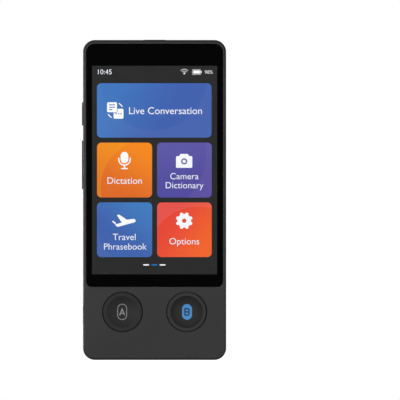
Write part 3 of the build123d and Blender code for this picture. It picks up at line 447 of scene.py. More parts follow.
@dataclass(frozen=True)
class MouldedPlastic(Finish):
    """Dark moulded plastic with a fine grain and polished edges, and a painted highlight on its rear lip
    where a lip colour is given.
    """

    colour: Colour = grey(54)
    roughness: float = 0.5
    grain: float = 3000.0
    relief: float = 0.000012
    polish: float = 0.14
    gloss: float = 0.6
    contrast: float = 0.08
    edge_radius: float = 0.0003
    lip_highlight: Colour | None = None
    lip_highlight_depths: Place = (0.0048, 0.0054)

    def wire(self, w: Wiring, shader: bpy.types.Node) -> None:
        """Grain the surface, cloud its colour a little, paint a highlight on the rear lip where one is given,
        and polish its edges.

        Args:
            w: Wiring of the material.
            shader: Its Principled shader.
        """
        grain = w.effect(Effects.grain(), {"Scale": self.grain})
        edge = w.effect(Effects.edge(), {"Radius": self.edge_radius, "Breakup": 0.5}).outputs["Mask"]
        smudge = w.effect(Effects.smudge(), {"Scale": 45.0}).outputs["Mask"]
        low, high = (toned(self.colour, 1 + side * self.contrast) for side in (-1, 1))
        body = w.mix(grain.outputs["Cloud"], low, high)
        # Painted highlight: past the given depths, the rear lip takes a paler colour.
        if self.lip_highlight:
            depth = w.add("SeparateXYZ", {0: w.place()}).outputs["Y"]
            body = w.mix(w.ramp(depth, *self.lip_highlight_depths), body, self.lip_highlight)
        pale = toned(self.colour, 1.35, 0.004)
        rough = w.maths("MULTIPLY_ADD", edge, -self.polish, self.roughness)
        rough = w.maths("MULTIPLY_ADD", smudge, -0.05, rough)
        normal = self.bump(w, grain.outputs["Height"], self.relief, 0.6)
        self.feed(
            w,
            shader,
            Base_Color=w.mix(w.maths("MULTIPLY", edge, 0.35), body, pale),
            Roughness=rough,
            Normal=normal,
            Specular_IOR_Level=self.gloss,
        )


@dataclass(frozen=True)
class DishedKey(Finish):
    """Moulded key with a satin dish painted darker than its rim and darker towards its edge as painted shade,
    and a painted shadow line in the step round the dish.
    """

    middle: Spot = (0.0, 0.0, 0.0)
    dish: float = 0.0066
    step_width: float = 0.0002
    blur: float = 0.0001
    rim: Colour = grey(40)
    centre: Colour = grey(36)
    border: Colour = grey(29)
    step: Colour = grey(40)
    roughness: float = 0.46

    def wire(self, w: Wiring, shader: bpy.types.Node) -> None:
        """Colour the dish and the rim, with painted shade in the dish and a painted shadow line in its step,
        grain both and polish the edges.

        Args:
            w: Wiring of the material.
            shader: Its Principled shader.
        """
        near = w.vectors("SUBTRACT", w.place(), self.middle).outputs[0]
        reach = w.reach(near)
        grain = w.effect(Effects.grain(), {"Scale": 4200.0})
        edge = w.effect(Effects.edge(), {"Radius": 0.0002, "Breakup": 0.4}).outputs["Mask"]
        # Painted shade: the dish darkens from its centre towards its edge.
        dish = w.mix(w.ramp(reach, self.dish * 0.35, self.dish), self.centre, self.border)
        outer = self.dish + self.step_width
        # Painted shadow: a narrow ring in the corner of the step takes the step tone, and the rim keeps its
        # own tone outside it.
        body = w.mix(w.ramp(reach, self.dish - self.blur, self.dish), dish, self.step)
        body = w.mix(w.ramp(reach, outer, outer + self.blur), body, self.rim)
        pale = toned(self.rim, 1.3)
        self.feed(
            w,
            shader,
            Base_Color=w.mix(w.maths("MULTIPLY", edge, 0.3), body, pale),
            Roughness=w.maths("MULTIPLY_ADD", grain.outputs["Cloud"], 0.06, self.roughness - 0.03),
            Normal=self.bump(w, grain.outputs["Height"], 0.000008, 0.5),
            Specular_IOR_Level=0.33,
        )


@dataclass(frozen=True)
class SheetMetal(Finish):
    """Bare or plated metal with fine drawn lines."""

    colour: Colour = tint(170, 172, 176)
    roughness: float = 0.3
    lines: float = 2500.0
    stretch: Spot = (1.0, 1.0, 0.05)

    def wire(self, w: Wiring, shader: bpy.types.Node) -> None:
        """Draw the lines into roughness and relief, and brighten the edges.

        Args:
            w: Wiring of the material.
            shader: Its Principled shader.
        """
        streak = w.effect(Effects.streak(), {"Scale": self.lines, "Stretch": self.stretch}).outputs["Height"]
        edge = w.effect(Effects.edge(), {"Radius": 0.00015, "Breakup": 0.3}).outputs["Mask"]
        dark = toned(self.colour, 0.82)
        pale = toned(self.colour, 1.2)
        body = w.mix(w.ramp(streak, 0.3, 0.7), dark, self.colour)
        self.feed(
            w,
            shader,
            Base_Color=w.mix(edge, body, pale),
            Metallic=1.0,
            Roughness=w.ramp(streak, 0.25, 0.75, self.roughness - 0.06, self.roughness + 0.08),
            Normal=self.bump(w, streak, 0.000004, 0.5),
        )


@dataclass(frozen=True)
class ClearGlass(Finish):
    """Clear glass or clear plastic, with faint finger marks."""

    colour: Colour = WHITE
    roughness: float = 0.0
    ior: float = 1.5
    coating_and_painted_reflection: float = 0.5

    def wire(self, w: Wiring, shader: bpy.types.Node) -> None:
        """Let light through, a little less evenly where it was touched.

        Args:
            w: Wiring of the material.
            shader: Its Principled shader.
        """
        smudge = w.effect(Effects.smudge(), {"Scale": 38.0}).outputs["Mask"]
        self.feed(
            w,
            shader,
            Base_Color=w.mix(smudge, self.colour, toned(self.colour, 0.985)),
            Transmission_Weight=1.0,
            Metallic=0.0,
            Ior=self.ior,
            Specular_IOR_Level=self.coating_and_painted_reflection,
            Roughness=w.maths("MULTIPLY_ADD", smudge, 0.02, self.roughness),
        )


@dataclass(frozen=True)
class Ridged(Finish):
    """Clear moulded lens with fine rings round its middle."""

    middle: Spot = (0.0, 0.0, 0.0)
    pitch: float = 0.00032
    colour: Colour = tint(236, 236, 228)

    def wire(self, w: Wiring, shader: bpy.types.Node) -> None:
        """Raise the rings and frost the plastic slightly.

        Args:
            w: Wiring of the material.
            shader: Its Principled shader.
        """
        near = w.vectors("SUBTRACT", w.place(), self.middle).outputs[0]
        rings = w.maths("PINGPONG", w.reach(near), self.pitch)
        smudge = w.effect(Effects.smudge(), {"Scale": 300.0}).outputs["Mask"]
        self.feed(
            w,
            shader,
            Base_Color=w.mix(smudge, self.colour, toned(self.colour, 0.9)),
            Transmission_Weight=0.7,
            Ior=1.49,
            Roughness=w.maths("MULTIPLY_ADD", smudge, 0.1, 0.2),
            Normal=self.bump(w, rings, 0.6),
        )


@dataclass(frozen=True)
class GlossWindow(Finish):
    """Tinted hard-coated window, almost black."""

    colour: Colour = tint(20, 20, 21)
    roughness: float = 0.38

    def wire(self, w: Wiring, shader: bpy.types.Node) -> None:
        """Gloss the window and soften it where it was wiped.

        Args:
            w: Wiring of the material.
            shader: Its Principled shader.
        """
        smudge = w.effect(Effects.smudge(), {"Scale": 90.0}).outputs["Mask"]
        edge = w.effect(Effects.edge(), {"Radius": 0.00015, "Breakup": 0.3}).outputs["Mask"]
        pale = toned(self.colour, 1.6)
        self.feed(
            w,
            shader,
            Base_Color=w.mix(edge, self.colour, pale),
            Roughness=w.maths("MULTIPLY_ADD", smudge, 0.12, self.roughness),
            Specular_IOR_Level=0.2,
            Coat_Weight=w.maths("MULTIPLY_ADD", smudge, -0.05, 0.12),
            Coat_Roughness=0.04,
        )


@dataclass(frozen=True)
class Glow(Finish):
    """Lit area of the screen, with a colour that runs across it."""

    near: Colour = grey(255)
    far: Colour = tint(246, 248, 252)
    heading: Spot = (0.0, 0.0, -40.0)
    start: float = -4.0
    circle: Spot = (0.0, 0.0, 0.0)
    radius: float = 1.0
    veil: float = 0.0
    tone: Colour = WHITE
    strength: float = 1.06

    def wire(self, w: Wiring, shader: bpy.types.Node) -> None:
        """Light the area from behind.

        Args:
            w: Wiring of the material.
            shader: Its Principled shader.
        """
        feeds = {
            "Near": self.near,
            "Far": self.far,
            "Heading": self.heading,
            "Start": self.start,
            "Circle": self.circle,
            "Radius": self.radius,
            "Veil": self.veil,
            "Tone": self.tone,
        }
        colour = w.effect(Effects.sheen(), feeds).outputs["Colour"]
        self.feed(
            w,
            shader,
            Base_Color=w.mix(0.95, colour, (0.0, 0.0, 0.0, 1.0)),
            Roughness=0.35,
            Specular_IOR_Level=0.2,
            Emission_Color=colour,
            Emission_Strength=self.strength,
        )


@dataclass(frozen=True)
class Print(Finish):
    """Screen-printed or pad-printed ink."""

    colour: Colour = grey(6)
    roughness: float = 0.5

    def wire(self, w: Wiring, shader: bpy.types.Node) -> None:
        """Lay the ink with the fine unevenness of a print.

        Args:
            w: Wiring of the material.
            shader: Its Principled shader.
        """
        grain = w.effect(Effects.grain(), {"Scale": 6000.0})
        low = toned(self.colour, 0.88)
        self.feed(
            w,
            shader,
            Base_Color=w.mix(grain.outputs["Cloud"], low, self.colour),
            Roughness=w.ramp(grain.outputs["Height"], 0.4, 1.1, self.roughness - 0.05, self.roughness + 0.07),
            Normal=self.bump(w, grain.outputs["Height"], 0.000004, 0.4),
        )


@dataclass(frozen=True)
class LightPipe(Finish):
    """Tinted milky plastic that is lit from behind."""

    colour: Colour = tint(76, 168, 234)
    deep: Colour = tint(60, 148, 216)
    middle: Spot = (0.0133, 0.0, 0.0199)
    spread: Place = (0.001, 0.0068)
    glow: float = 0.17

    def wire(self, w: Wiring, shader: bpy.types.Node) -> None:
        """Brighten the plastic towards the lamp in its middle.

        Args:
            w: Wiring of the material.
            shader: Its Principled shader.
        """
        reach = w.vectors("DISTANCE", w.place(), self.middle).outputs["Value"]
        grain = w.effect(Effects.grain(), {"Scale": 4000.0})
        share = w.maths("MULTIPLY_ADD", grain.outputs["Cloud"], 0.15, w.ramp(reach, *self.spread))
        colour = w.mix(share, self.colour, self.deep)
        self.feed(
            w,
            shader,
            Base_Color=colour,
            Roughness=0.38,
            Subsurface_Weight=0.15,
            Subsurface_Radius=(0.0006, 0.0006, 0.0009),
            Emission_Color=colour,
            Emission_Strength=self.glow,
            Normal=self.bump(w, grain.outputs["Height"], 0.000006, 0.4),
        )


@dataclass(frozen=True)
class Mesh(Finish):
    """Woven acoustic cloth."""

    colour: Colour = grey(2)
    pitch: float = 0.00016

    def wire(self, w: Wiring, shader: bpy.types.Node) -> None:
        """Weave the cloth from crossing threads.

        Args:
            w: Wiring of the material.
            shader: Its Principled shader.
        """
        place = w.place()
        turns = 2 * math.pi / self.pitch
        split = w.add("SeparateXYZ", {0: place})
        warp = w.maths("SINE", w.maths("MULTIPLY", split.outputs["X"], turns))
        weft = w.maths("SINE", w.maths("MULTIPLY", split.outputs["Z"], turns))
        weave = w.maths("MULTIPLY", warp, weft)
        pale = toned(self.colour, 2.2)
        self.feed(
            w,
            shader,
            Base_Color=w.mix(w.ramp(weave, -0.8, 0.8), self.colour, pale),
            Roughness=0.85,
            Sheen_Weight=0.02,
            Normal=self.bump(w, weave, 0.00002, 0.7),
        )


@dataclass(frozen=True)
class Porous(Finish):
    """Foam or soft rubber with open or closed pores."""

    colour: Colour = tint(38, 38, 40)
    pores: float = 2200.0
    relief: float = 0.00006

    def wire(self, w: Wiring, shader: bpy.types.Node) -> None:
        """Pit the surface with pores of mixed sizes.

        Args:
            w: Wiring of the material.
            shader: Its Principled shader.
        """
        place = w.place()
        cells = w.add("TexVoronoi", {"Vector": place, "Scale": self.pores})
        clouds = w.effect(Effects.grain(), {"Scale": self.pores}).outputs["Cloud"]
        depth = w.ramp(cells.outputs["Distance"], 0.0, 0.6)
        pale = toned(self.colour, 1.5)
        self.feed(
            w,
            shader,
            Base_Color=w.mix(w.maths("MULTIPLY", depth, clouds), self.colour, pale),
            Roughness=w.ramp(depth, 0.0, 1.0, 0.95, 0.75),
            Normal=self.bump(w, depth, self.relief, 0.6),
        )


@dataclass(frozen=True)
class Film(Finish):
    """Thin plastic film or adhesive, slightly see-through."""

    colour: Colour = tint(200, 200, 196)
    roughness: float = 0.35
    wrinkle: float = 0.00002

    def wire(self, w: Wiring, shader: bpy.types.Node) -> None:
        """Wrinkle the film a little.

        Args:
            w: Wiring of the material.
            shader: Its Principled shader.
        """
        smudge = w.effect(Effects.smudge(), {"Scale": 120.0}).outputs["Mask"]
        waves = w.add("TexNoise", {"Vector": w.place(), "Scale": 260.0, "Detail": 3.0}).outputs[0]
        dark = toned(self.colour, 0.8)
        self.feed(
            w,
            shader,
            Base_Color=w.mix(smudge, self.colour, dark),
            Roughness=w.ramp(waves, 0.3, 0.7, self.roughness - 0.08, self.roughness + 0.12),
            Normal=self.bump(w, waves, self.wrinkle),
        )


@dataclass(frozen=True)
class Tracks(Finish):
    """Circuit board or flexible circuit, with its copper lines under the lacquer."""

    colour: Colour = tint(18, 42, 34)
    metal: Colour = tint(60, 92, 60)
    pitch: float = 0.0008
    bends: float = 0.9

    def wire(self, w: Wiring, shader: bpy.types.Node) -> None:
        """Run stepped lines over the board and dot it with small holes.

        Args:
            w: Wiring of the material.
            shader: Its Principled shader.
        """
        place = w.place()
        blocks = w.add("TexVoronoi", {"Vector": place, "Scale": 140.0}, distance="CHEBYCHEV")
        split = w.add("SeparateXYZ", {0: place})
        turned = w.ramp(blocks.outputs["Color"], 0.49, 0.51, 0.0, self.bends)
        across = w.choose(turned, split.outputs["Z"], split.outputs["X"])
        lines = w.maths("PINGPONG", across, self.pitch / 2)
        line = w.ramp(lines, self.pitch * 0.28, self.pitch * 0.34)
        dots = w.add("TexVoronoi", {"Vector": place, "Scale": 420.0, "Randomness": 0.7})
        dot = w.ramp(dots.outputs["Distance"], 0.18, 0.14)
        raised = w.maths("MAXIMUM", line, dot)
        self.feed(
            w,
            shader,
            Base_Color=w.mix(dot, w.mix(line, self.colour, self.metal), tint(176, 142, 82)),
            Roughness=w.ramp(raised, 0.0, 1.0, 0.34, 0.26),
            Normal=self.bump(w, raised, 0.00002, 0.8),
        )


@dataclass(frozen=True)
class AmberFlex(Tracks):
    """Flexible circuit: straight fine lines under an amber film."""

    colour: Colour = tint(96, 58, 20)
    metal: Colour = tint(150, 96, 44)
    pitch: float = 0.0003
    bends: float = 0.0


@dataclass(frozen=True)
class Foil(Finish):
    """Soft aluminium laminate of a pouch cell."""

    colour: Colour = tint(58, 60, 66)

    def wire(self, w: Wiring, shader: bpy.types.Node) -> None:
        """Crease the foil the way a pouch cell is creased.

        Args:
            w: Wiring of the material.
            shader: Its Principled shader.
        """
        place = w.place()
        cells = w.add("TexVoronoi", {"Vector": place, "Scale": 110.0}, feature="SMOOTH_F1")
        folds = cells.outputs["Distance"]
        fine = w.add("TexNoise", {"Vector": place, "Scale": 600.0, "Detail": 4.0}).outputs[0]
        crease = w.maths("MULTIPLY_ADD", fine, 0.25, folds)
        pale = toned(self.colour, 1.4)
        self.feed(
            w,
            shader,
            Base_Color=w.mix(fine, self.colour, pale),
            Metallic=0.75,
            Roughness=w.ramp(crease, 0.2, 0.9, 0.26, 0.42),
            Normal=self.bump(w, crease, 0.0001, 0.6),
        )


@dataclass(frozen=True)
class Phosphor(Finish):
    """Yellow phosphor face of a white lamp."""

    colour: Colour = tint(228, 206, 96)

    def wire(self, w: Wiring, shader: bpy.types.Node) -> None:
        """Mottle the phosphor.

        Args:
            w: Wiring of the material.
            shader: Its Principled shader.
        """
        grain = w.effect(Effects.grain(), {"Scale": 9000.0})
        dark = toned(self.colour, 0.75)
        self.feed(
            w,
            shader,
            Base_Color=w.mix(grain.outputs["Cloud"], dark, self.colour),
            Roughness=0.55,
            Normal=self.bump(w, grain.outputs["Height"], 0.00001),
        )


@dataclass(frozen=True)
class Baffle(Finish):
    """Blackened stepped cone round a lens, with painted light and shade: brighter towards a fixed heading,
    darker away from it, and a painted tone in the pupil.
    """

    middle: Spot = (0.0, 0.0, 0.1141)
    # Painted light: colour is painted on the side towards this heading, shade on the far side, and deep in
    # the pupil.
    heading: Spot = (230.0, 0.0, 300.0)
    colour: Colour = tint(124, 124, 126)
    shade: Colour = tint(80, 80, 81)
    deep: Colour = tint(80, 80, 82)
    clear: float = 0.0
    pupil: Place = (0.0003, 0.0006)
    mouth: float = 0.0018
    step: float = 0.00007

    def wire(self, w: Wiring, shader: bpy.types.Node) -> None:
        """Ring the cone with fine steps, paint light and shade across it and paint the pupil in its deep
        tone.

        Args:
            w: Wiring of the material.
            shader: Its Principled shader.
        """
        near = w.vectors("SUBTRACT", w.place(), self.middle).outputs[0]
        reach = w.reach(near)
        steps = w.maths("PINGPONG", reach, self.step)
        # Painted light and shade across the cone, along the fixed heading.
        across = w.vectors("DOT_PRODUCT", near, self.heading).outputs["Value"]
        cone = w.mix(w.ramp(across, -0.45, 0.45), self.shade, self.colour)
        self.feed(
            w,
            shader,
            Base_Color=w.mix(w.ramp(reach, *self.pupil), self.deep, cone),
            Roughness=w.ramp(reach, self.pupil[1], self.mouth, 0.5, 0.34),
            Transmission_Weight=self.clear,
            Normal=self.bump(w, steps, 0.5),
        )


class Bench:
    """Hand tools of the mesh work. They work in millimetres until a piece is settled."""

    @staticmethod
    def clear() -> None:
        """Leave edit mode and deselect everything."""
        if bpy.context.mode != "OBJECT":
            bpy.ops.object.mode_set(mode="OBJECT")
        bpy.ops.object.select_all(action="DESELECT")

    @staticmethod
    def take(*pieces: bpy.types.Object) -> None:
        """Select these pieces alone.

        Args:
            *pieces: The pieces, with the active one first.
        """
        Bench.clear()
        for piece in pieces:
            piece.select_set(True)
        bpy.context.view_layer.objects.active = pieces[0]

    @staticmethod
    def apply() -> None:
        """Bring the place, turn and scale of the selected piece into its mesh."""
        bpy.ops.object.transform_apply(location=True, rotation=True, scale=True)

    @staticmethod
    def name(name: str) -> bpy.types.Object:
        """Name the piece that was just added, and its mesh.

        Args:
            name: The name.

        Returns:
            The piece.
        """
        piece = bpy.context.object
        piece.name = piece.data.name = name
        return piece

    @staticmethod
    def pick(piece: bpy.types.Object, element: Element, test: Test = anywhere) -> None:
        """Open a piece in edit mode with some of its elements selected.

        Args:
            piece: Piece to work on.
            element: Kind of element.
            test: Says by its place whether an element is taken.
        """
        Bench.take(piece)
        bpy.ops.object.mode_set(mode="EDIT")
        bpy.ops.mesh.select_mode(type=element.value)
        bpy.ops.mesh.select_all(action="DESELECT")
        bpy.ops.object.mode_set(mode="OBJECT")
        if element is Element.VERTEX:
            for vertex in piece.data.vertices:
                vertex.select = test(vertex.co)
        else:
            for polygon in piece.data.polygons:
                polygon.select = test(polygon.center)
        bpy.ops.object.mode_set(mode="EDIT")

    @staticmethod
    def sheet(name: str, middle: Place, size: Place, level: float, turn: float = 0.0) -> bpy.types.Object:
        """Lay a flat four-cornered sheet that faces the viewer of the page.

        Args:
            name: Name of the piece.
            middle: Middle across and up.
            size: Width and height.
            level: Place along the depth.
            turn: Turn to the left, in degrees.

        Returns:
            The sheet.
        """
        Bench.clear()
        bpy.ops.mesh.primitive_plane_add(
            size=1.0,
            location=(middle[0], level, middle[1]),
            rotation=(math.radians(90), -math.radians(turn), 0.0),
        )
        piece = Bench.name(name)
        piece.scale = (size[0], size[1], 1.0)
        Bench.apply()
        return piece

    @staticmethod
    def patch(name: str, corners: Sequence[Place], level: float) -> bpy.types.Object:
        """Lay a flat sheet and pull its four corners to their places.

        Args:
            name: Name of the piece.
            corners: Places of the lower left, lower right, upper right and upper left corner.
            level: Place along the depth.

        Returns:
            The sheet.
        """
        piece = Bench.sheet(name, (0.0, 0.0), (2.0, 2.0), level)
        for (x, z), (right, up) in zip(corners, ((-1, -1), (1, -1), (1, 1), (-1, 1))):
            start = Vector((right, level, up))
            Bench.shift(piece, (x - right, z - up), lambda place, start=start: (place - start).length < NEAR)
        return piece

    @staticmethod
    def disc(name: str, middle: Place, radius: float, level: float, corners: int = 48) -> bpy.types.Object:
        """Lay a flat disc that faces the viewer of the page.

        Args:
            name: Name of the piece.
            middle: Middle across and up.
            radius: Radius of the rim.
            level: Place along the depth.
            corners: Number of corners of the rim.

        Returns:
            The disc.
        """
        Bench.clear()
        bpy.ops.mesh.primitive_circle_add(
            vertices=corners,
            radius=radius,
            fill_type="NGON",
            location=(middle[0], level, middle[1]),
            rotation=(math.radians(90), 0.0, 0.0),
        )
        piece = Bench.name(name)
        Bench.apply()
        return piece

    @staticmethod
    def hollow(piece: bpy.types.Object, wall: float) -> None:
        """Inset the one face of a flat piece and take the inner face out.

        Args:
            piece: Flat piece of one face.
            wall: Width that stays.
        """
        Bench.pick(piece, Element.FACE)
        bpy.ops.mesh.inset(thickness=wall)
        bpy.ops.mesh.delete(type="FACE")
        Bench.clear()

    @staticmethod
    def band(
        name: str, middle: Place, radii: Place, arc: Place, level: float, steps: int = 16
    ) -> bpy.types.Object:
        """Spin a short radial edge into a flat arc.

        Args:
            name: Name of the piece.
            middle: Middle of the arc.
            radii: Inner and outer radius.
            arc: Start and sweep, in degrees to the left from the right-hand side.
            level: Place along the depth.
            steps: Number of steps of the spin.

        Returns:
            The flat arc.
        """
        start, sweep = (math.radians(angle) for angle in arc)
        out = Vector((math.cos(start), 0.0, math.sin(start)))
        side = Vector((-math.sin(start), 0.0, math.cos(start)))
        spare = 0.1
        centre = Vector((middle[0], level, middle[1]))
        spot = centre + out * (sum(radii) / 2) + side * spare / 2
        piece = Bench.sheet(name, (spot.x, spot.z), (radii[1] - radii[0], spare), level, arc[0])
        Bench.pick(piece, Element.VERTEX, lambda place: (place - centre).dot(side) > spare / 2)
        bpy.ops.mesh.delete(type="VERT")
        Bench.pick(piece, Element.VERTEX)
        bpy.ops.mesh.spin(steps=steps, angle=sweep, center=centre, axis=(0.0, 1.0, 0.0))
        Bench.clear()
        return piece

    @staticmethod
    def round_corners(piece: bpy.types.Object, radius: float, steps: int = 6, test: Test = anywhere) -> None:
        """Round corners of a flat piece.

        Args:
            piece: Flat piece.
            radius: Radius of the corners.
            steps: Number of steps of each corner.
            test: Says by its place whether a corner is taken.
        """
        Bench.pick(piece, Element.VERTEX, test)
        bpy.ops.mesh.bevel(offset=radius, segments=steps, profile=0.5, affect="VERTICES")
        Bench.clear()

    @staticmethod
    def shift(piece: bpy.types.Object, by: Place, test: Test) -> None:
        """Move some vertices of a piece.

        Args:
            piece: Piece to change.
            by: Move across and up.
            test: Says by its place whether a vertex is taken.
        """
        Bench.pick(piece, Element.VERTEX, test)
        bpy.ops.transform.translate(value=(by[0], 0.0, by[1]))
        Bench.clear()

    @staticmethod
    def thicken(piece: bpy.types.Object, depth: float) -> bpy.types.Object:
        """Extrude a flat piece away from the viewer and close it.

        Args:
            piece: Flat piece.
            depth: Thickness.

        Returns:
            The same piece.
        """
        Bench.pick(piece, Element.FACE)
        bpy.ops.mesh.extrude_region_move(TRANSFORM_OT_translate={"value": (0.0, depth, 0.0)})
        Bench.heal(piece)
        return piece

    @staticmethod
    def heal(piece: bpy.types.Object) -> None:
        """Merge doubled vertices and turn the faces outwards.

        Args:
            piece: Piece to mend.
        """
        Bench.pick(piece, Element.FACE)
        bpy.ops.mesh.remove_doubles(threshold=0.0005)
        bpy.ops.mesh.normals_make_consistent(inside=False)
        Bench.clear()

    @staticmethod
    def cut(piece: bpy.types.Object, cutter: bpy.types.Object) -> None:
        """Cut one piece out of another with an applied modifier, and drop the cutter.

        Args:
            piece: Piece that stays.
            cutter: Piece that is taken away.
        """
        Bench.take(piece)
        tool = piece.modifiers.new("cut", "BOOLEAN")
        tool.operation = "DIFFERENCE"
        tool.solver = "EXACT"
        tool.object = cutter
        bpy.ops.object.modifier_apply(modifier=tool.name)
        bpy.data.objects.remove(cutter)

    @staticmethod
    def join(name: str, pieces: Sequence[bpy.types.Object]) -> bpy.types.Object:
        """Join pieces into one mesh.

        Args:
            name: Name of the whole.
            pieces: Pieces to join.

        Returns:
            The whole.
        """
        Bench.take(*pieces)
        if len(pieces) > 1:
            bpy.ops.object.join()
        return Bench.name(name)

    @staticmethod
    def copies(piece: bpy.types.Object, moves: Sequence[Spot]) -> list[bpy.types.Object]:
        """Copy a piece with its own mesh to other places.

        Args:
            piece: Piece to copy.
            moves: Move of each copy.

        Returns:
            The piece and its copies.
        """
        made = [piece]
        for move in moves:
            Bench.take(piece)
            bpy.ops.object.duplicate(linked=False)
            twin = bpy.context.object
            twin.location = move
            Bench.apply()
            made.append(twin)
        return made

    @staticmethod
    def words(
        name: str, text: str, place: Place, height: float, layer: Layer, align: Align = Align.MIDDLE
    ) -> bpy.types.Object:
        """Set plain words in the built-in letters.

        Args:
            name: Name of the piece.
            text: The words.
            place: Point of the baseline that they are set on.
            height: Height of the capitals.
            layer: Layer that they lie in.
            align: Side of the words that lies on the point.

        Returns:
            The words as a mesh.
        """
        Bench.clear()
        bpy.ops.object.text_add()
        piece = bpy.context.object
        piece.name = name
        piece.data.body = text
        piece.data.align_x = align.value
        piece.data.size = height / CAPITAL
        piece.data.extrude = layer.depth / 2
        piece.data.resolution_u = 4
        bpy.ops.object.convert(target="MESH")
        piece = bpy.context.object
        piece.location = (place[0], layer.front + layer.depth / 2, place[1])
        piece.rotation_euler = (math.radians(90), 0.0, 0.0)
        Bench.apply()
        Bench.heal(piece)
        return piece

    @staticmethod
    def settle(piece: bpy.types.Object) -> None:
        """Bring a piece from millimetres to metres, with its place in its mesh.

        Args:
            piece: Piece to settle.
        """
        Bench.take(piece)
        piece.scale = (MM, MM, MM)
        Bench.apply()


@dataclass
class SubAssembly:
    """Parts of the device that are made and dressed together.

    Each line of looks is a finish, followed by the names of the solids that it dresses.
    """

    looks: ClassVar[tuple[tuple[Any, ...], ...]] = ()
    frame: dict[str, Any]

    def build(self) -> None:
        """Dress the solids and make the new pieces."""
        for finish, *nodes in self.looks:
            self.dress(finish, *nodes)
        self.add_pieces()

    def add_pieces(self) -> None:
        """Make the new pieces, if the sub-assembly has any."""

    def dress(self, finish: Finish, *nodes: str) -> None:
        """Give solids of the device a finish.

        Args:
            finish: The finish.
            *nodes: Names of the solids.
        """
        for name in nodes:
            for slot in self.frame["nodes"][name].material_slots:
                slot.material = finish.material()
            LOG.info("%s: %s", name, finish.name)

    def fit(self, piece: bpy.types.Object, finish: Finish, slot: str, body: str = DEVICE) -> bpy.types.Object:
        """Settle a new piece, dress it and let it ride on its body.

        Args:
            piece: Piece in millimetres.
            finish: Its finish.
            slot: Material slot of the record that it belongs to; not used.
            body: Body that carries it.

        Returns:
            The piece.
        """
        Bench.settle(piece)
        piece.data.materials.clear()
        piece.data.materials.append(finish.material())
        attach(piece, body)
        LOG.info("%s: %s, %d faces", piece.name, finish.name, len(piece.data.polygons))
        return piece


@dataclass
class Case(SubAssembly):
    """Housing, back cover and strap eyelet."""

    looks = (
        (
            # The housing's pale lip colour is a painted highlight along its rear rim.
            MouldedPlastic("case_shell", grey(43), roughness=0.41, gloss=0.45, lip_highlight=tint(90, 90, 91)),
            "front_housing",
        ),
        (MouldedPlastic("rear_cover", grey(45), roughness=0.41, gloss=0.49, grain=2600.0), "back_cover"),
        (MouldedPlastic("strap_eye", tint(44, 44, 45), roughness=0.42), "strap_eyelet"),
        (SheetMetal("strap_rod", tint(120, 122, 126), stretch=(1.0, 0.05, 1.0)), "strap_bar"),
        (SheetMetal("cast_frame", tint(132, 134, 138), roughness=0.46, lines=1500.0), "chassis"),
        (SheetMetal("black_screw", tint(64, 64, 68), roughness=0.36), "chassis_screws", "board_screws"),
    )


@dataclass(frozen=True)
class Tile:
    """A coloured field of the start page, in millimetres."""

    name: str
    left: float
    right: float
    bottom: float
    top: float
    glow: Glow

    @property
    def middle(self) -> Place:
        """Return the middle of the tile."""
        return ((self.left + self.right) / 2, (self.bottom + self.top) / 2)

    @property
    def size(self) -> Place:
        """Return the width and height of the tile."""
        return (self.right - self.left, self.top - self.bottom)


def tile_glow(
    name: str,
    colours: tuple[Colour, Colour],
    ends: tuple[Place, Place],
    circle: Spot,
    veil: tuple[float, Colour],
) -> Glow:
    """Make the glow of a tile.

    Args:
        name: Name of the finish.
        colours: Colours at the two ends of the run.
        ends: Places, in millimetres, where the first colour ends and the second is reached.
        circle: Middle across and up, and radius, of the large circle, in millimetres.
        veil: Share and tone of the veil outside the circle.

    Returns:
        The finish.
    """
    first, second = (Vector((x, 0.0, z)) * MM for x, z in ends)
    step = second - first
    heading = step / step.length_squared
    return Glow(
        name,
        near=colours[0],
        far=colours[1],
        heading=tuple(heading),
        start=first.dot(heading),
        circle=metres(circle[0], Layer.TILE.front, circle[1]),
        radius=circle[2] * MM,
        veil=veil[0],
        tone=veil[1],
    )


@dataclass
class Display(SubAssembly):
    """Cover glass, its printed border and the panel behind it."""

    looks = (
        (ClearGlass("cover_glass_clear", coating_and_painted_reflection=0.42), "cover_glass"),
        (Print("border_black", grey(12)), "ink_border"),
        (
            Glow(
                "page_ground",
                near=tint(40, 41, 40),
                far=tint(41, 42, 41),
                heading=(0.0, 0.0, 11.6),
                start=0.41,
                strength=1.04,
            ),
            "lcd_panel",
        ),
        (Film("bond_black", grey(24), roughness=0.5), "display_adhesive"),
        (Film("lamp_sheet", tint(228, 230, 232), roughness=0.3), "backlight"),
        (Porous("panel_cushion", tint(34, 34, 36)), "display_foam"),
        (AmberFlex("panel_flex"), "display_flex"),
    )


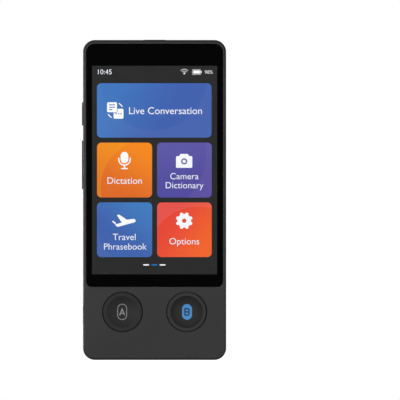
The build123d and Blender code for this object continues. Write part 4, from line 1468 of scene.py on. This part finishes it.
@dataclass
class StartPage(SubAssembly):
    """Lit page of the screen: tiles with icons and labels, the status bar and the page marks.

    Places and sizes are in millimetres, across and up.
    """

    tiles: ClassVar[tuple[Tile, ...]] = (
        Tile("tile_talk", -23.9, 23.6, 92.15, 114.7, tile_glow(
            "talk_blue", (tint(64, 119, 191), tint(65, 97, 174)), ((-22, 111), (6, 97)),
            (-0.5, 117.5, 22.3), (0.012, WHITE))),
        Tile("tile_dictation", -23.85, -1.05, 67.35, 90.05, tile_glow(
            "dictation_orange", (tint(245, 137, 28), tint(222, 106, 37)), ((-3, 89), (-14, 68)),
            (-2.5, 71.5, 19.8), (0.14, tint(255, 196, 20)))),
        Tile("tile_camera", 1.0, 23.7, 67.3, 90.1, tile_glow(
            "camera_violet", (tint(92, 88, 165), tint(81, 76, 158)), ((6, 90), (9, 70)),
            (-7.4, 86.8, 28.9), (0.06, tint(190, 140, 200)))),
        Tile("tile_travel", -23.9, -1.0, 42.6, 65.3, tile_glow(
            "travel_blue", (tint(65, 124, 190), tint(64, 99, 173)), ((-3, 65), (-15, 50)),
            (-4.0, 57.0, 20.0), (0.012, WHITE))),
        Tile("tile_options", 1.05, 23.65, 42.65, 65.25, tile_glow(
            "options_red", (tint(229, 70, 54), tint(241, 100, 43)), ((4, 57), (22, 44)),
            (18.0, 42.7, 20.8), (0.09, tint(235, 160, 170)))),
    )
    rows: ClassVar[tuple[tuple[str, str, Place, float], ...]] = (
        ("label_talk", "Live Conversation", (4.5, 101.9), 2.84),
        ("label_dictation", "Dictation", (-12.45, 73.0), 2.68),
        ("label_camera", "Camera", (12.3, 74.9), 2.55),
        ("label_camera_list", "Dictionary", (12.3, 71.15), 2.55),
        ("label_travel", "Travel", (-12.5, 49.7), 2.6),
        ("label_travel_list", "Phrasebook", (-12.3, 45.75), 2.55),
        ("label_options", "Options", (12.3, 47.9), 2.62),
    )
    corner: float = 1.8
    cutter_reach: float = 0.5
    slot: str = "display_glass"
    white: Finish = Glow("icon_white")
    soft: Finish = Glow("label_white", near=tint(240, 243, 250), far=tint(232, 236, 246))
    pale: Finish = Glow("status_grey", near=tint(226, 228, 232), far=tint(220, 222, 228))
    blue: Finish = Glow("mark_blue", near=tint(34, 122, 194), far=tint(30, 112, 184))

    talk_middle: Place = (-16.3, 103.4)
    card: Place = (4.1, 4.1)
    card_corner: float = 0.5
    card_step: float = 1.35
    card_notch: tuple[Place, float] = ((4.6, 4.6), 0.7)
    written_line: Place = (2.6, 0.42)
    last_line: float = 1.5
    line_step: float = 1.0
    dot: Place = (0.62, 0.62)
    dot_step: float = 1.05
    turn_radii: Place = (3.08, 3.46)
    turn_starts: Place = (27.0, 207.0)
    turn_sweep: float = 36.0

    microphone_middle: Place = (-12.48, 83.1)
    microphone: Place = (3.2, 4.7)
    cradle_radii: Place = (2.13, 2.62)
    stem: Place = (0.6, 1.2)
    foot: Place = (2.85, 0.5)

    camera_middle: Place = (12.25, 82.05)
    camera: Place = (6.75, 4.85)
    hump: Place = (3.2, 1.0)
    hump_flare: float = 0.45
    lens_ring: Place = (1.28, 0.56)

    gear_middle: Place = (12.28, 57.7)
    gear_radius: float = 2.85
    gear_wall: float = 1.95
    teeth: int = 8
    tooth_share: float = 0.22
    tooth_reach: float = 1.23

    clock_place: Place = (-24.05, 118.42)
    clock_height: float = 1.98
    fan_middle: Place = (12.35, 118.35)
    fan_radii: Place = (1.5, 2.28)
    fan_width: float = 0.24
    charge_middle: Place = (17.35, 119.33)
    charge_rim: Place = (3.5, 2.2)
    percent_place: Place = (24.2, 118.6)
    percent_height: float = 1.42

    mark: Place = (2.45, 0.52)
    mark_level: float = 39.4

    def add_pieces(self) -> None:
        """Make the page from its ground up."""
        for tile in self.tiles:
            piece = Bench.sheet(tile.name, tile.middle, tile.size, Layer.TILE.front)
            Bench.round_corners(piece, self.corner, 8)
            self.fit(Bench.thicken(piece, Layer.TILE.depth), tile.glow, self.slot)
        self.talk_icon()
        self.dictation_icon()
        self.camera_icon()
        self.travel_icon()
        self.options_icon()
        for name, text, place, height in self.rows:
            self.fit(Bench.words(name, text, place, height, Layer.MARK), self.soft, self.slot)
        self.status_bar()
        self.page_marks()

    def bar(self, middle: Place, size: Place, radius: float, turn: float = 0.0) -> bpy.types.Object:
        """Make a round-cornered bar in the layer of the icons.

        Args:
            middle: Middle of the bar.
            size: Width and height.
            radius: Radius of the corners.
            turn: Turn to the left, in degrees.

        Returns:
            The bar.
        """
        piece = Bench.sheet("bar", middle, size, Layer.MARK.front, turn)
        Bench.round_corners(piece, radius, 5)
        return Bench.thicken(piece, Layer.MARK.depth)

    def arc(self, middle: Place, radii: Place, arc: Place) -> bpy.types.Object:
        """Make an arc in the layer of the icons.

        Args:
            middle: Middle of the arc.
            radii: Inner and outer radius.
            arc: Start and sweep, in degrees.

        Returns:
            The arc.
        """
        return Bench.thicken(Bench.band("arc", middle, radii, arc, Layer.MARK.front), Layer.MARK.depth)

    def punch(self, piece: bpy.types.Object, *holes: tuple[Place, Place, float]) -> None:
        """Cut round-cornered holes through a flat piece.

        Args:
            piece: Piece to cut.
            *holes: Middle, size and corner radius of each hole.
        """
        for middle, size, radius in holes:
            tool = Bench.sheet("punch", middle, size, Layer.MARK.front - self.cutter_reach)
            Bench.round_corners(tool, radius, 5)
            Bench.cut(piece, Bench.thicken(tool, 2 * self.cutter_reach))

    def finish_icon(self, name: str, parts: Sequence[bpy.types.Object], finish: Finish | None = None) -> None:
        """Join the parts of an icon and fit it.

        Args:
            name: Name of the icon.
            parts: Its parts.
            finish: Its finish, white if none is given.
        """
        self.fit(Bench.join(name, parts), finish or self.white, self.slot)

    def talk_icon(self) -> None:
        """Make two speech cards, one written and one with dots, and two short arcs between them."""
        x, z = self.talk_middle
        left, right = x - self.card_step, x + self.card_step
        low, high = z - self.card_step, z + self.card_step
        width, thickness = self.written_line
        indent = (self.last_line - width) / 2
        upper = self.bar((left, high), self.card, self.card_corner)
        lines = [
            ((left, high + self.line_step), self.written_line, 0.2),
            ((left, high), self.written_line, 0.2),
            ((left + indent, high - self.line_step), (self.last_line, thickness), 0.2),
        ]
        self.punch(upper, *lines)
        lower = self.bar((right, low), self.card, self.card_corner)
        dots = [((right + self.dot_step * step, low), self.dot, 0.3) for step in (-1, 0, 1)]
        self.punch(lower, *dots)
        self.punch(lower, ((left, high), *self.card_notch))
        arcs = [self.arc((x, z), self.turn_radii, (start, self.turn_sweep)) for start in self.turn_starts]
        self.finish_icon("icon_talk", [upper, lower, *arcs])

    def dictation_icon(self) -> None:
        """Make a microphone in its cradle."""
        x, z = self.microphone_middle
        inner, outer = self.cradle_radii
        wall, reach = outer - inner, (inner + outer) / 2
        head = self.bar((x, z + 0.8), self.microphone, 1.59)
        cradle = self.arc((x, z), self.cradle_radii, (180.0, 180.0))
        sides = [self.bar((x + side * reach, z + 0.35), (wall, 0.8), 0.16) for side in (-1, 1)]
        stem = self.bar((x, z - 3.15), self.stem, 0.1)
        foot = self.bar((x, z - 3.8), self.foot, 0.24)
        self.finish_icon("icon_dictation", [head, cradle, *sides, stem, foot])

    def camera_icon(self) -> None:
        """Make a camera with a ring round its lens."""
        x, z = self.camera_middle
        top = z + 2.85
        body = self.bar((x, z), self.camera, 0.45)
        hump = Bench.sheet("hump", (x, top), self.hump, Layer.MARK.front)
        Bench.shift(hump, (-self.hump_flare, 0.0), lambda place: place.x < x and place.z < top)
        Bench.shift(hump, (self.hump_flare, 0.0), lambda place: place.x > x and place.z < top)
        Bench.round_corners(hump, 0.3, 4, lambda place: place.z > top)
        Bench.thicken(hump, Layer.MARK.depth)
        radius, wall = self.lens_ring
        ring = Bench.disc("ring", (x, z + 0.25), radius, Layer.MARK.front - self.cutter_reach)
        Bench.hollow(ring, wall)
        Bench.cut(body, Bench.thicken(ring, 2 * self.cutter_reach))
        self.finish_icon("icon_camera", [body, hump])

    def travel_icon(self) -> None:
        """Make an aeroplane that takes off, from four patches pulled to its outline."""
        level = Layer.MARK.front
        hull = Bench.patch("hull", ((-15.45, 55.1), (-7.75, 57.2), (-8.1, 58.55), (-16.45, 56.1)), level)
        Bench.round_corners(hull, 0.62, 6, lambda place: place.x > -9.0)
        Bench.round_corners(hull, 0.4, 5, lambda place: place.x < -14.0 and place.z < 56.0)
        root = Bench.patch("root", ((-13.7, 56.4), (-9.4, 57.4), (-8.5, 58.5), (-11.5, 58.1)), level)
        wing = Bench.patch("wing", ((-13.4, 56.6), (-11.3, 58.0), (-14.6, 60.2), (-15.7, 60.1)), level)
        Bench.round_corners(wing, 0.3, 4, lambda place: place.z > 58.3)
        fin = Bench.patch("fin", ((-16.4, 56.3), (-15.85, 56.6), (-17.15, 57.7), (-17.65, 57.35)), level)
        Bench.round_corners(fin, 0.12, 3)
        parts = [Bench.thicken(part, Layer.MARK.depth) for part in (hull, root, wing, fin)]
        self.finish_icon("icon_travel", parts)

    def options_icon(self) -> None:
        """Make a gear wheel, with its teeth pulled out of a ring."""
        middle = Vector((self.gear_middle[0], 0.0, self.gear_middle[1]))
        wheel = Bench.disc("wheel", self.gear_middle, self.gear_radius, Layer.MARK.front, 10 * self.teeth)
        Bench.hollow(wheel, self.gear_wall)

        def on_tooth(place: Vector) -> bool:
            """Say whether a rim vertex is on a tooth.

            Args:
                place: Place of the vertex.

            Returns:
                True on a tooth.
            """
            out = Vector((place.x, 0.0, place.z)) - middle
            angle = math.atan2(out.z, out.x) / (2 * math.pi) * self.teeth + 0.5
            return out.length > self.gear_radius / 2 and abs(angle - round(angle)) < self.tooth_share

        Bench.pick(wheel, Element.VERTEX, on_tooth)
        centre = (middle.x, Layer.MARK.front, middle.z)
        bpy.ops.transform.resize(value=(self.tooth_reach, 1.0, self.tooth_reach), center_override=centre)
        Bench.clear()
        self.finish_icon("icon_options", [Bench.thicken(wheel, Layer.MARK.depth)])

    def status_bar(self) -> None:
        """Make the clock, the reception fan, the charge and its number."""
        clock = Bench.words(
            "status_clock", "10:45", self.clock_place, self.clock_height, Layer.MARK, Align.LEFT
        )
        self.fit(clock, self.soft, self.slot)
        x, z = self.fan_middle
        fan = [self.arc((x, z), (outer - self.fan_width, outer), (45.0, 90.0)) for outer in self.fan_radii]
        dot = Bench.thicken(Bench.disc("dot", (x, z + 0.43), 0.42, Layer.MARK.front, 20), Layer.MARK.depth)
        self.finish_icon("status_reception", [*fan, dot], self.pale)
        x, z = self.charge_middle
        rim = Bench.sheet("rim", (x, z), self.charge_rim, Layer.MARK.front)
        Bench.round_corners(rim, 0.3, 4)
        Bench.hollow(rim, 0.11)
        Bench.thicken(rim, Layer.MARK.depth)
        charge = self.bar((x + 0.05, z + 0.02), (2.75, 1.3), 0.1)
        knob = self.bar((x + 1.95, z), (0.36, 0.9), 0.12)
        self.finish_icon("status_charge", [rim, charge, knob], self.white)
        percent = Bench.words(
            "status_percent", "98%", self.percent_place, self.percent_height, Layer.MARK, Align.RIGHT
        )
        self.fit(percent, self.pale, self.slot)

    def page_marks(self) -> None:
        """Make the three short marks of the page's place."""
        marks = (("first", -3.5, self.white), ("second", -0.1, self.blue), ("third", 3.3, self.white))
        for name, x, finish in marks:
            self.finish_icon("page_mark_" + name, [self.bar((x, self.mark_level), self.mark, 0.24)], finish)


@dataclass
class FrontKeys(SubAssembly):
    """The two round keys, their marks, lamps and switches."""

    looks = (
        # The dish tones of both keys are painted shade, and key B's near-black step tone is a painted shadow
        # line round its dish.
        (DishedKey("left_key", middle=metres(-13.3, 0, 19.9)), "key_a"),
        (
            DishedKey(
                "right_key",
                middle=metres(13.3, 0, 19.9),
                dish=0.00635,
                rim=grey(52),
                centre=grey(39),
                border=grey(16),
                step=grey(6),
            ),
            "key_b",
        ),
        (Print("key_mark_grey", tint(158, 158, 159), roughness=0.45), "key_a_legend"),
        (LightPipe("key_light_blue"), "key_b_light_guide"),
        (Print("key_mark_blue", tint(2, 62, 122), roughness=0.45), "key_b_legend"),
        (Tracks("key_board_green"), "key_board"),
        (SheetMetal("snap_dome", tint(186, 186, 188), roughness=0.24), "key_domes"),
        (Phosphor("key_lamp"), "key_leds"),
        (AmberFlex("key_flex_amber"), "key_flex"),
    )


@dataclass
class SideKeys(SubAssembly):
    """Power key, volume key and their switches."""

    looks = (
        (
            MouldedPlastic(
                "side_key", tint(30, 30, 31), roughness=0.7, gloss=0.12, grain=4200.0, relief=0.000008
            ),
            "power_key",
            "volume_key",
        ),
        (SheetMetal("switch_plate", tint(150, 152, 156)), "side_key_plate"),
        (SheetMetal("side_dome", tint(186, 186, 188), roughness=0.24), "side_key_domes"),
        (AmberFlex("side_flex_amber"), "side_key_flex"),
    )


@dataclass
class ChargingPort(SubAssembly):
    """Metal shell and tongue of the charging port, with its contacts."""

    looks = (
        (SheetMetal("port_shell", tint(150, 152, 156), roughness=0.26), "usb_shell"),
        (MouldedPlastic("port_tongue", tint(26, 26, 28), roughness=0.4, grain=6000.0), "usb_tongue"),
    )
    pitch: float = 0.5
    count: int = 12
    pad: Spot = (0.27, 0.02, 3.4)
    pad_rim: float = 0.012
    pad_height: float = 129.0
    faces: Place = (1.48, 2.18)
    gold: Finish = SheetMetal("port_gold", tint(212, 168, 84), roughness=0.22)

    def add_pieces(self) -> None:
        """Lay the contacts on both faces of the tongue."""
        left = -self.pitch * (self.count - 1) / 2
        thickness = self.pad[1]
        rows = []
        for side, face in zip((-1, 1), self.faces):
            Bench.clear()
            spot = (left, face + side * thickness / 2, self.pad_height)
            bpy.ops.mesh.primitive_cube_add(size=1.0, location=spot)
            piece = bpy.context.object
            piece.scale = self.pad
            Bench.apply()
            outer = face + side * thickness
            Bench.pick(piece, Element.FACE, lambda place, level=outer: abs(place.y - level) < NEAR)
            bpy.ops.mesh.inset(thickness=self.pad_rim)
            Bench.clear()
            steps = [(self.pitch * step, 0.0, 0.0) for step in range(1, self.count)]
            rows += Bench.copies(piece, steps)
        self.fit(Bench.join("port_contacts", rows), self.gold, "copper")


@dataclass
class RearCamera(SubAssembly):
    """Camera, flash and the dark window that covers them."""

    looks = (
        (GlossWindow("rear_window"), "camera_window"),
        (ClearGlass("lens_cover_clear"), "camera_lens_cover"),
        (ClearGlass("lens_clear", tint(214, 216, 238)), "camera_lens"),
        (Baffle("lens_baffle"), "camera_barrel"),
        (MouldedPlastic("camera_body", tint(24, 24, 25), grain=5000.0), "camera_module"),
        (Phosphor("flash_phosphor"), "flash_led"),
        (Ridged("flash_rings", middle=(0.012, 0.0, 0.1141)), "flash_lens"),
    )
    # Painted reflection: the front element's grey, brighter towards the upper left and paler in the middle,
    # stands in for what the lens reflects.
    coating_and_painted_reflection: Finish = Baffle(
        "lens_painted_reflection",
        colour=tint(132, 132, 134),
        shade=tint(93, 93, 95),
        deep=tint(122, 122, 124),
        clear=0.25,
    )
    middle: Place = (0.0, 114.1)
    base: float = 4.36
    foot: float = 0.03
    rise: float = 0.24
    radius: float = 0.68
    rings: int = 4

    def add_pieces(self) -> None:
        """Raise the domed front element of the lens ring by ring from a disc."""
        x, z = self.middle
        Bench.clear()
        bpy.ops.mesh.primitive_circle_add(
            vertices=40,
            radius=self.radius,
            fill_type="TRIFAN",
            location=(x, self.base, z),
            rotation=(math.radians(-90), 0.0, 0.0),
        )
        piece = Bench.name("lens_front_element")
        Bench.apply()
        Bench.pick(piece, Element.VERTEX)
        bpy.ops.mesh.subdivide(number_cuts=self.rings - 1)
        Bench.pick(piece, Element.FACE)
        bpy.ops.mesh.extrude_region_move(TRANSFORM_OT_translate={"value": (0.0, self.foot, 0.0)})
        Bench.clear()
        slack = 0.02
        for ring in range(self.rings):
            edge = self.radius * (1 - ring / self.rings) - slack
            lift = self.rise * (2 * ring + 1) / self.rings**2

            def inside(place: Vector, edge: float = edge) -> bool:
                """Say whether a front vertex lies inside the ring."""
                return place.y > self.base + self.foot / 2 and math.hypot(place.x - x, place.z - z) < edge

            Bench.pick(piece, Element.VERTEX, inside)
            bpy.ops.transform.translate(value=(0.0, lift, 0.0))
            Bench.clear()
        Bench.heal(piece)
        Bench.take(piece)
        bpy.ops.object.shade_smooth_by_angle(angle=math.radians(40))
        # The front element wears the painted reflection.
        self.fit(piece, self.coating_and_painted_reflection, "clear_glass")


@dataclass
class Sound(SubAssembly):
    """Loudspeaker, its cloth and contacts, and the microphones."""

    looks = (
        (Mesh("speaker_cloth"), "speaker_mesh"),
        (MouldedPlastic("speaker_body", tint(26, 26, 27), grain=3600.0), "speaker_box"),
        (SheetMetal("driver_basket", tint(88, 88, 92), roughness=0.4), "speaker_driver"),
        (Porous("speaker_seal", tint(30, 30, 32)), "speaker_gasket"),
        (SheetMetal("spring_gold", tint(205, 160, 84), roughness=0.24), "speaker_contacts"),
        (SheetMetal("microphone_can", tint(178, 178, 180)), "microphones"),
        (Porous("microphone_boot", tint(28, 28, 29), pores=5200.0, relief=0.00001), "mic_boots"),
    )


@dataclass
class Electronics(SubAssembly):
    """Boards, chips, shields, aerial and battery."""

    looks = (
        (Tracks("board_green"), "main_board", "sub_board"),
        (MouldedPlastic("chip_epoxy", tint(30, 30, 32), roughness=0.55, grain=7000.0), "board_chips"),
        (
            MouldedPlastic("socket_black", tint(22, 22, 23), roughness=0.42, grain=7000.0),
            "board_connectors",
            "battery_plug",
        ),
        (
            SheetMetal("shield_tin", tint(184, 186, 188), roughness=0.34, lines=1800.0),
            "processor_shield",
            "power_shield",
        ),
        (AmberFlex("main_flex_amber"), "main_flex"),
        (SheetMetal("aerial_copper", tint(198, 122, 84), roughness=0.32), "wifi_antenna"),
        (Foil("cell_foil"), "battery_cell"),
        (Film("cell_tape", tint(216, 212, 196)), "battery_tape"),
        (Tracks("cell_board_green"), "battery_circuit"),
        (
            Tracks("cell_lead_black", tint(30, 30, 31), tint(52, 50, 48), pitch=0.0011, bends=0.0),
            "battery_lead",
        ),
    )


@dataclass(frozen=True)
class PaleFloor(Finish):
    """Matt white floor that keeps the shadow of what stands on it."""

    colour: Colour = (0.3, 0.3, 0.3, 1.0)
    lift: float = 0.9

    def wire(self, w: Wiring, shader: bpy.types.Node) -> None:
        """Lift the floor to white for the camera alone.

        Args:
            w: Wiring of the material.
            shader: Its Principled shader.
        """
        seen = w.add("LightPath").outputs["Is Camera Ray"]
        grain = w.effect(Effects.grain(), {"Scale": 900.0}).outputs["Cloud"]
        pale = w.mix(grain, self.colour, toned(self.colour, 1.04))
        self.feed(
            w,
            shader,
            Base_Color=pale,
            Roughness=0.9,
            Specular_IOR_Level=0.1,
            Emission_Color=WHITE,
            Emission_Strength=w.maths("MULTIPLY", seen, self.lift),
        )


@dataclass(frozen=True)
class Softbox:
    """A large soft lamp that is aimed at the middle of the device, in metres."""

    name: str
    place: Spot
    size: Place
    watts: float

    def hang(self, aim: Vector) -> None:
        """Add the lamp and turn it to the aim.

        Args:
            aim: Point that the lamp looks at.
        """
        Bench.clear()
        bpy.ops.object.light_add(type="AREA", location=self.place)
        lamp = bpy.context.object
        lamp.name = self.name
        lamp.data.shape = "RECTANGLE"
        lamp.data.size, lamp.data.size_y = self.size
        lamp.data.energy = self.watts
        lamp.rotation_euler = (aim - lamp.location).to_track_quat("-Z", "Y").to_euler()
        lamp.visible_camera = False
        lamp.visible_transmission = False
        LOG.info("%s: %.2f W", self.name, self.watts)


@dataclass
class Studio:
    """Camera, lamps, floor and white surround."""

    aim: Vector = field(default_factory=lambda: Vector(metres(0, 0, 66)))
    view: Spot = (18.82, -600.0, 66.29)
    view_width: float = 0.1658
    fill: float = 0.6
    low_fill: float = 0.35
    rear_fill: float = 0.35
    gloss: float = 0.3
    dark_gloss: float = 0.045
    floor_radius: float = 0.36
    floor_rim: float = 0.02
    floor_drop: float = 0.006
    lamps: tuple[Softbox, ...] = (
        Softbox("lamp_front_left", (-0.27, -0.60, 0.066), (0.30, 0.12), 0.98),
        Softbox("lamp_front_right", (0.17, -0.62, 0.066), (0.16, 0.12), 0.36),
        Softbox("lamp_left", (-0.62, 0.0, 0.066), (0.12, 0.5), 0.62),
        Softbox("lamp_back", (-0.205, 0.62, 0.066), (0.20, 0.12), 0.84),
        Softbox("lamp_top", (0.0, 0.25, 0.70), (0.5, 0.03), 0.1),
    )

    def build(self) -> None:
        """Set up the studio."""
        self.camera()
        for lamp in self.lamps:
            lamp.hang(self.aim)
        self.floor()
        self.surround()
        bpy.context.scene.view_settings.view_transform = "Standard"

    def camera(self) -> None:
        """Place the camera straight in front of the screen."""
        Bench.clear()
        bpy.ops.object.camera_add(location=metres(*self.view), rotation=(math.radians(90), 0.0, 0.0))
        camera = bpy.context.object
        camera.data.type = "ORTHO"
        camera.data.ortho_scale = self.view_width
        camera.data.dof.use_dof = False
        camera.data.clip_start = 0.01
        bpy.context.scene.camera = camera

    def floor(self) -> None:
        """Lay a round floor with a rolled edge under the device."""
        Bench.clear()
        bpy.ops.mesh.primitive_circle_add(vertices=96, radius=self.floor_radius, fill_type="NGON")
        floor = Bench.name("studio_floor")
        Bench.pick(floor, Element.FACE)
        bpy.ops.mesh.inset(thickness=self.floor_rim)
        edge = self.floor_radius - self.floor_rim / 2
        Bench.pick(floor, Element.VERTEX, lambda place: math.hypot(place.x, place.y) > edge)
        bpy.ops.transform.translate(value=(0.0, 0.0, -self.floor_drop))
        Bench.clear()
        floor.data.materials.append(PaleFloor("pale_floor").material())

    def surround(self) -> None:
        """Wrap the scene in white for the camera and in soft grey for gloss and fill."""
        world = bpy.data.worlds.new("studio_surround")
        world.use_nodes = True
        w = Wiring(world.node_tree)
        paths = w.add("LightPath").outputs
        # The level is 1 at the height of the eye and 0 above and below. The shine comes from the left and
        # fades towards the viewer, so that the front stays dark. The fill is stronger behind the device.
        mirrored = w.maths("GREATER_THAN", paths["Glossy Depth"], 0.5)
        scattered = w.maths("GREATER_THAN", paths["Diffuse Depth"], 0.5)
        straight = w.maths("MAXIMUM", paths["Is Camera Ray"], paths["Is Transmission Ray"])
        heading = w.add("SeparateXYZ", {0: w.add("TexCoord").outputs["Generated"]}).outputs
        tilt = w.maths("ABSOLUTE", heading["Z"])
        level = w.ramp(tilt, 0.2, 0.6, 1.0, 0.0)
        away = w.ramp(heading["X"], -0.3, -0.02, self.gloss, self.dark_gloss)
        beside = w.ramp(heading["Y"], -0.96, -0.55)
        shine = w.maths("MULTIPLY", level, w.maths("MULTIPLY", away, beside))
        shine = w.maths("MAXIMUM", shine, self.dark_gloss)
        behind = w.maths("MULTIPLY", w.ramp(heading["Y"], 0.0, 0.9), self.rear_fill)
        extra = w.maths("ADD", behind, self.fill - self.low_fill)
        soft = w.maths("MULTIPLY_ADD", level, extra, self.low_fill)
        direct = w.maths("MAXIMUM", straight, soft)
        strength = w.choose(scattered, soft, w.choose(mirrored, shine, direct))
        ground = w.add("Background", {"Color": WHITE, "Strength": strength})
        w.add("OutputWorld", {"Surface": ground.outputs[0]})
        bpy.context.scene.world = world


def main() -> None:
    """Load the solids, dress them, add the new pieces and set up the studio."""
    logging.basicConfig(level=logging.INFO, format="%(name)s %(message)s")
    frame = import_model()
    Bench.clear()
    groups = (Case, Display, StartPage, FrontKeys, SideKeys, ChargingPort, RearCamera, Sound, Electronics)
    for group in groups:
        group(frame).build()
    Studio().build()
    Bench.clear()


if __name__ == "__main__":
    main()
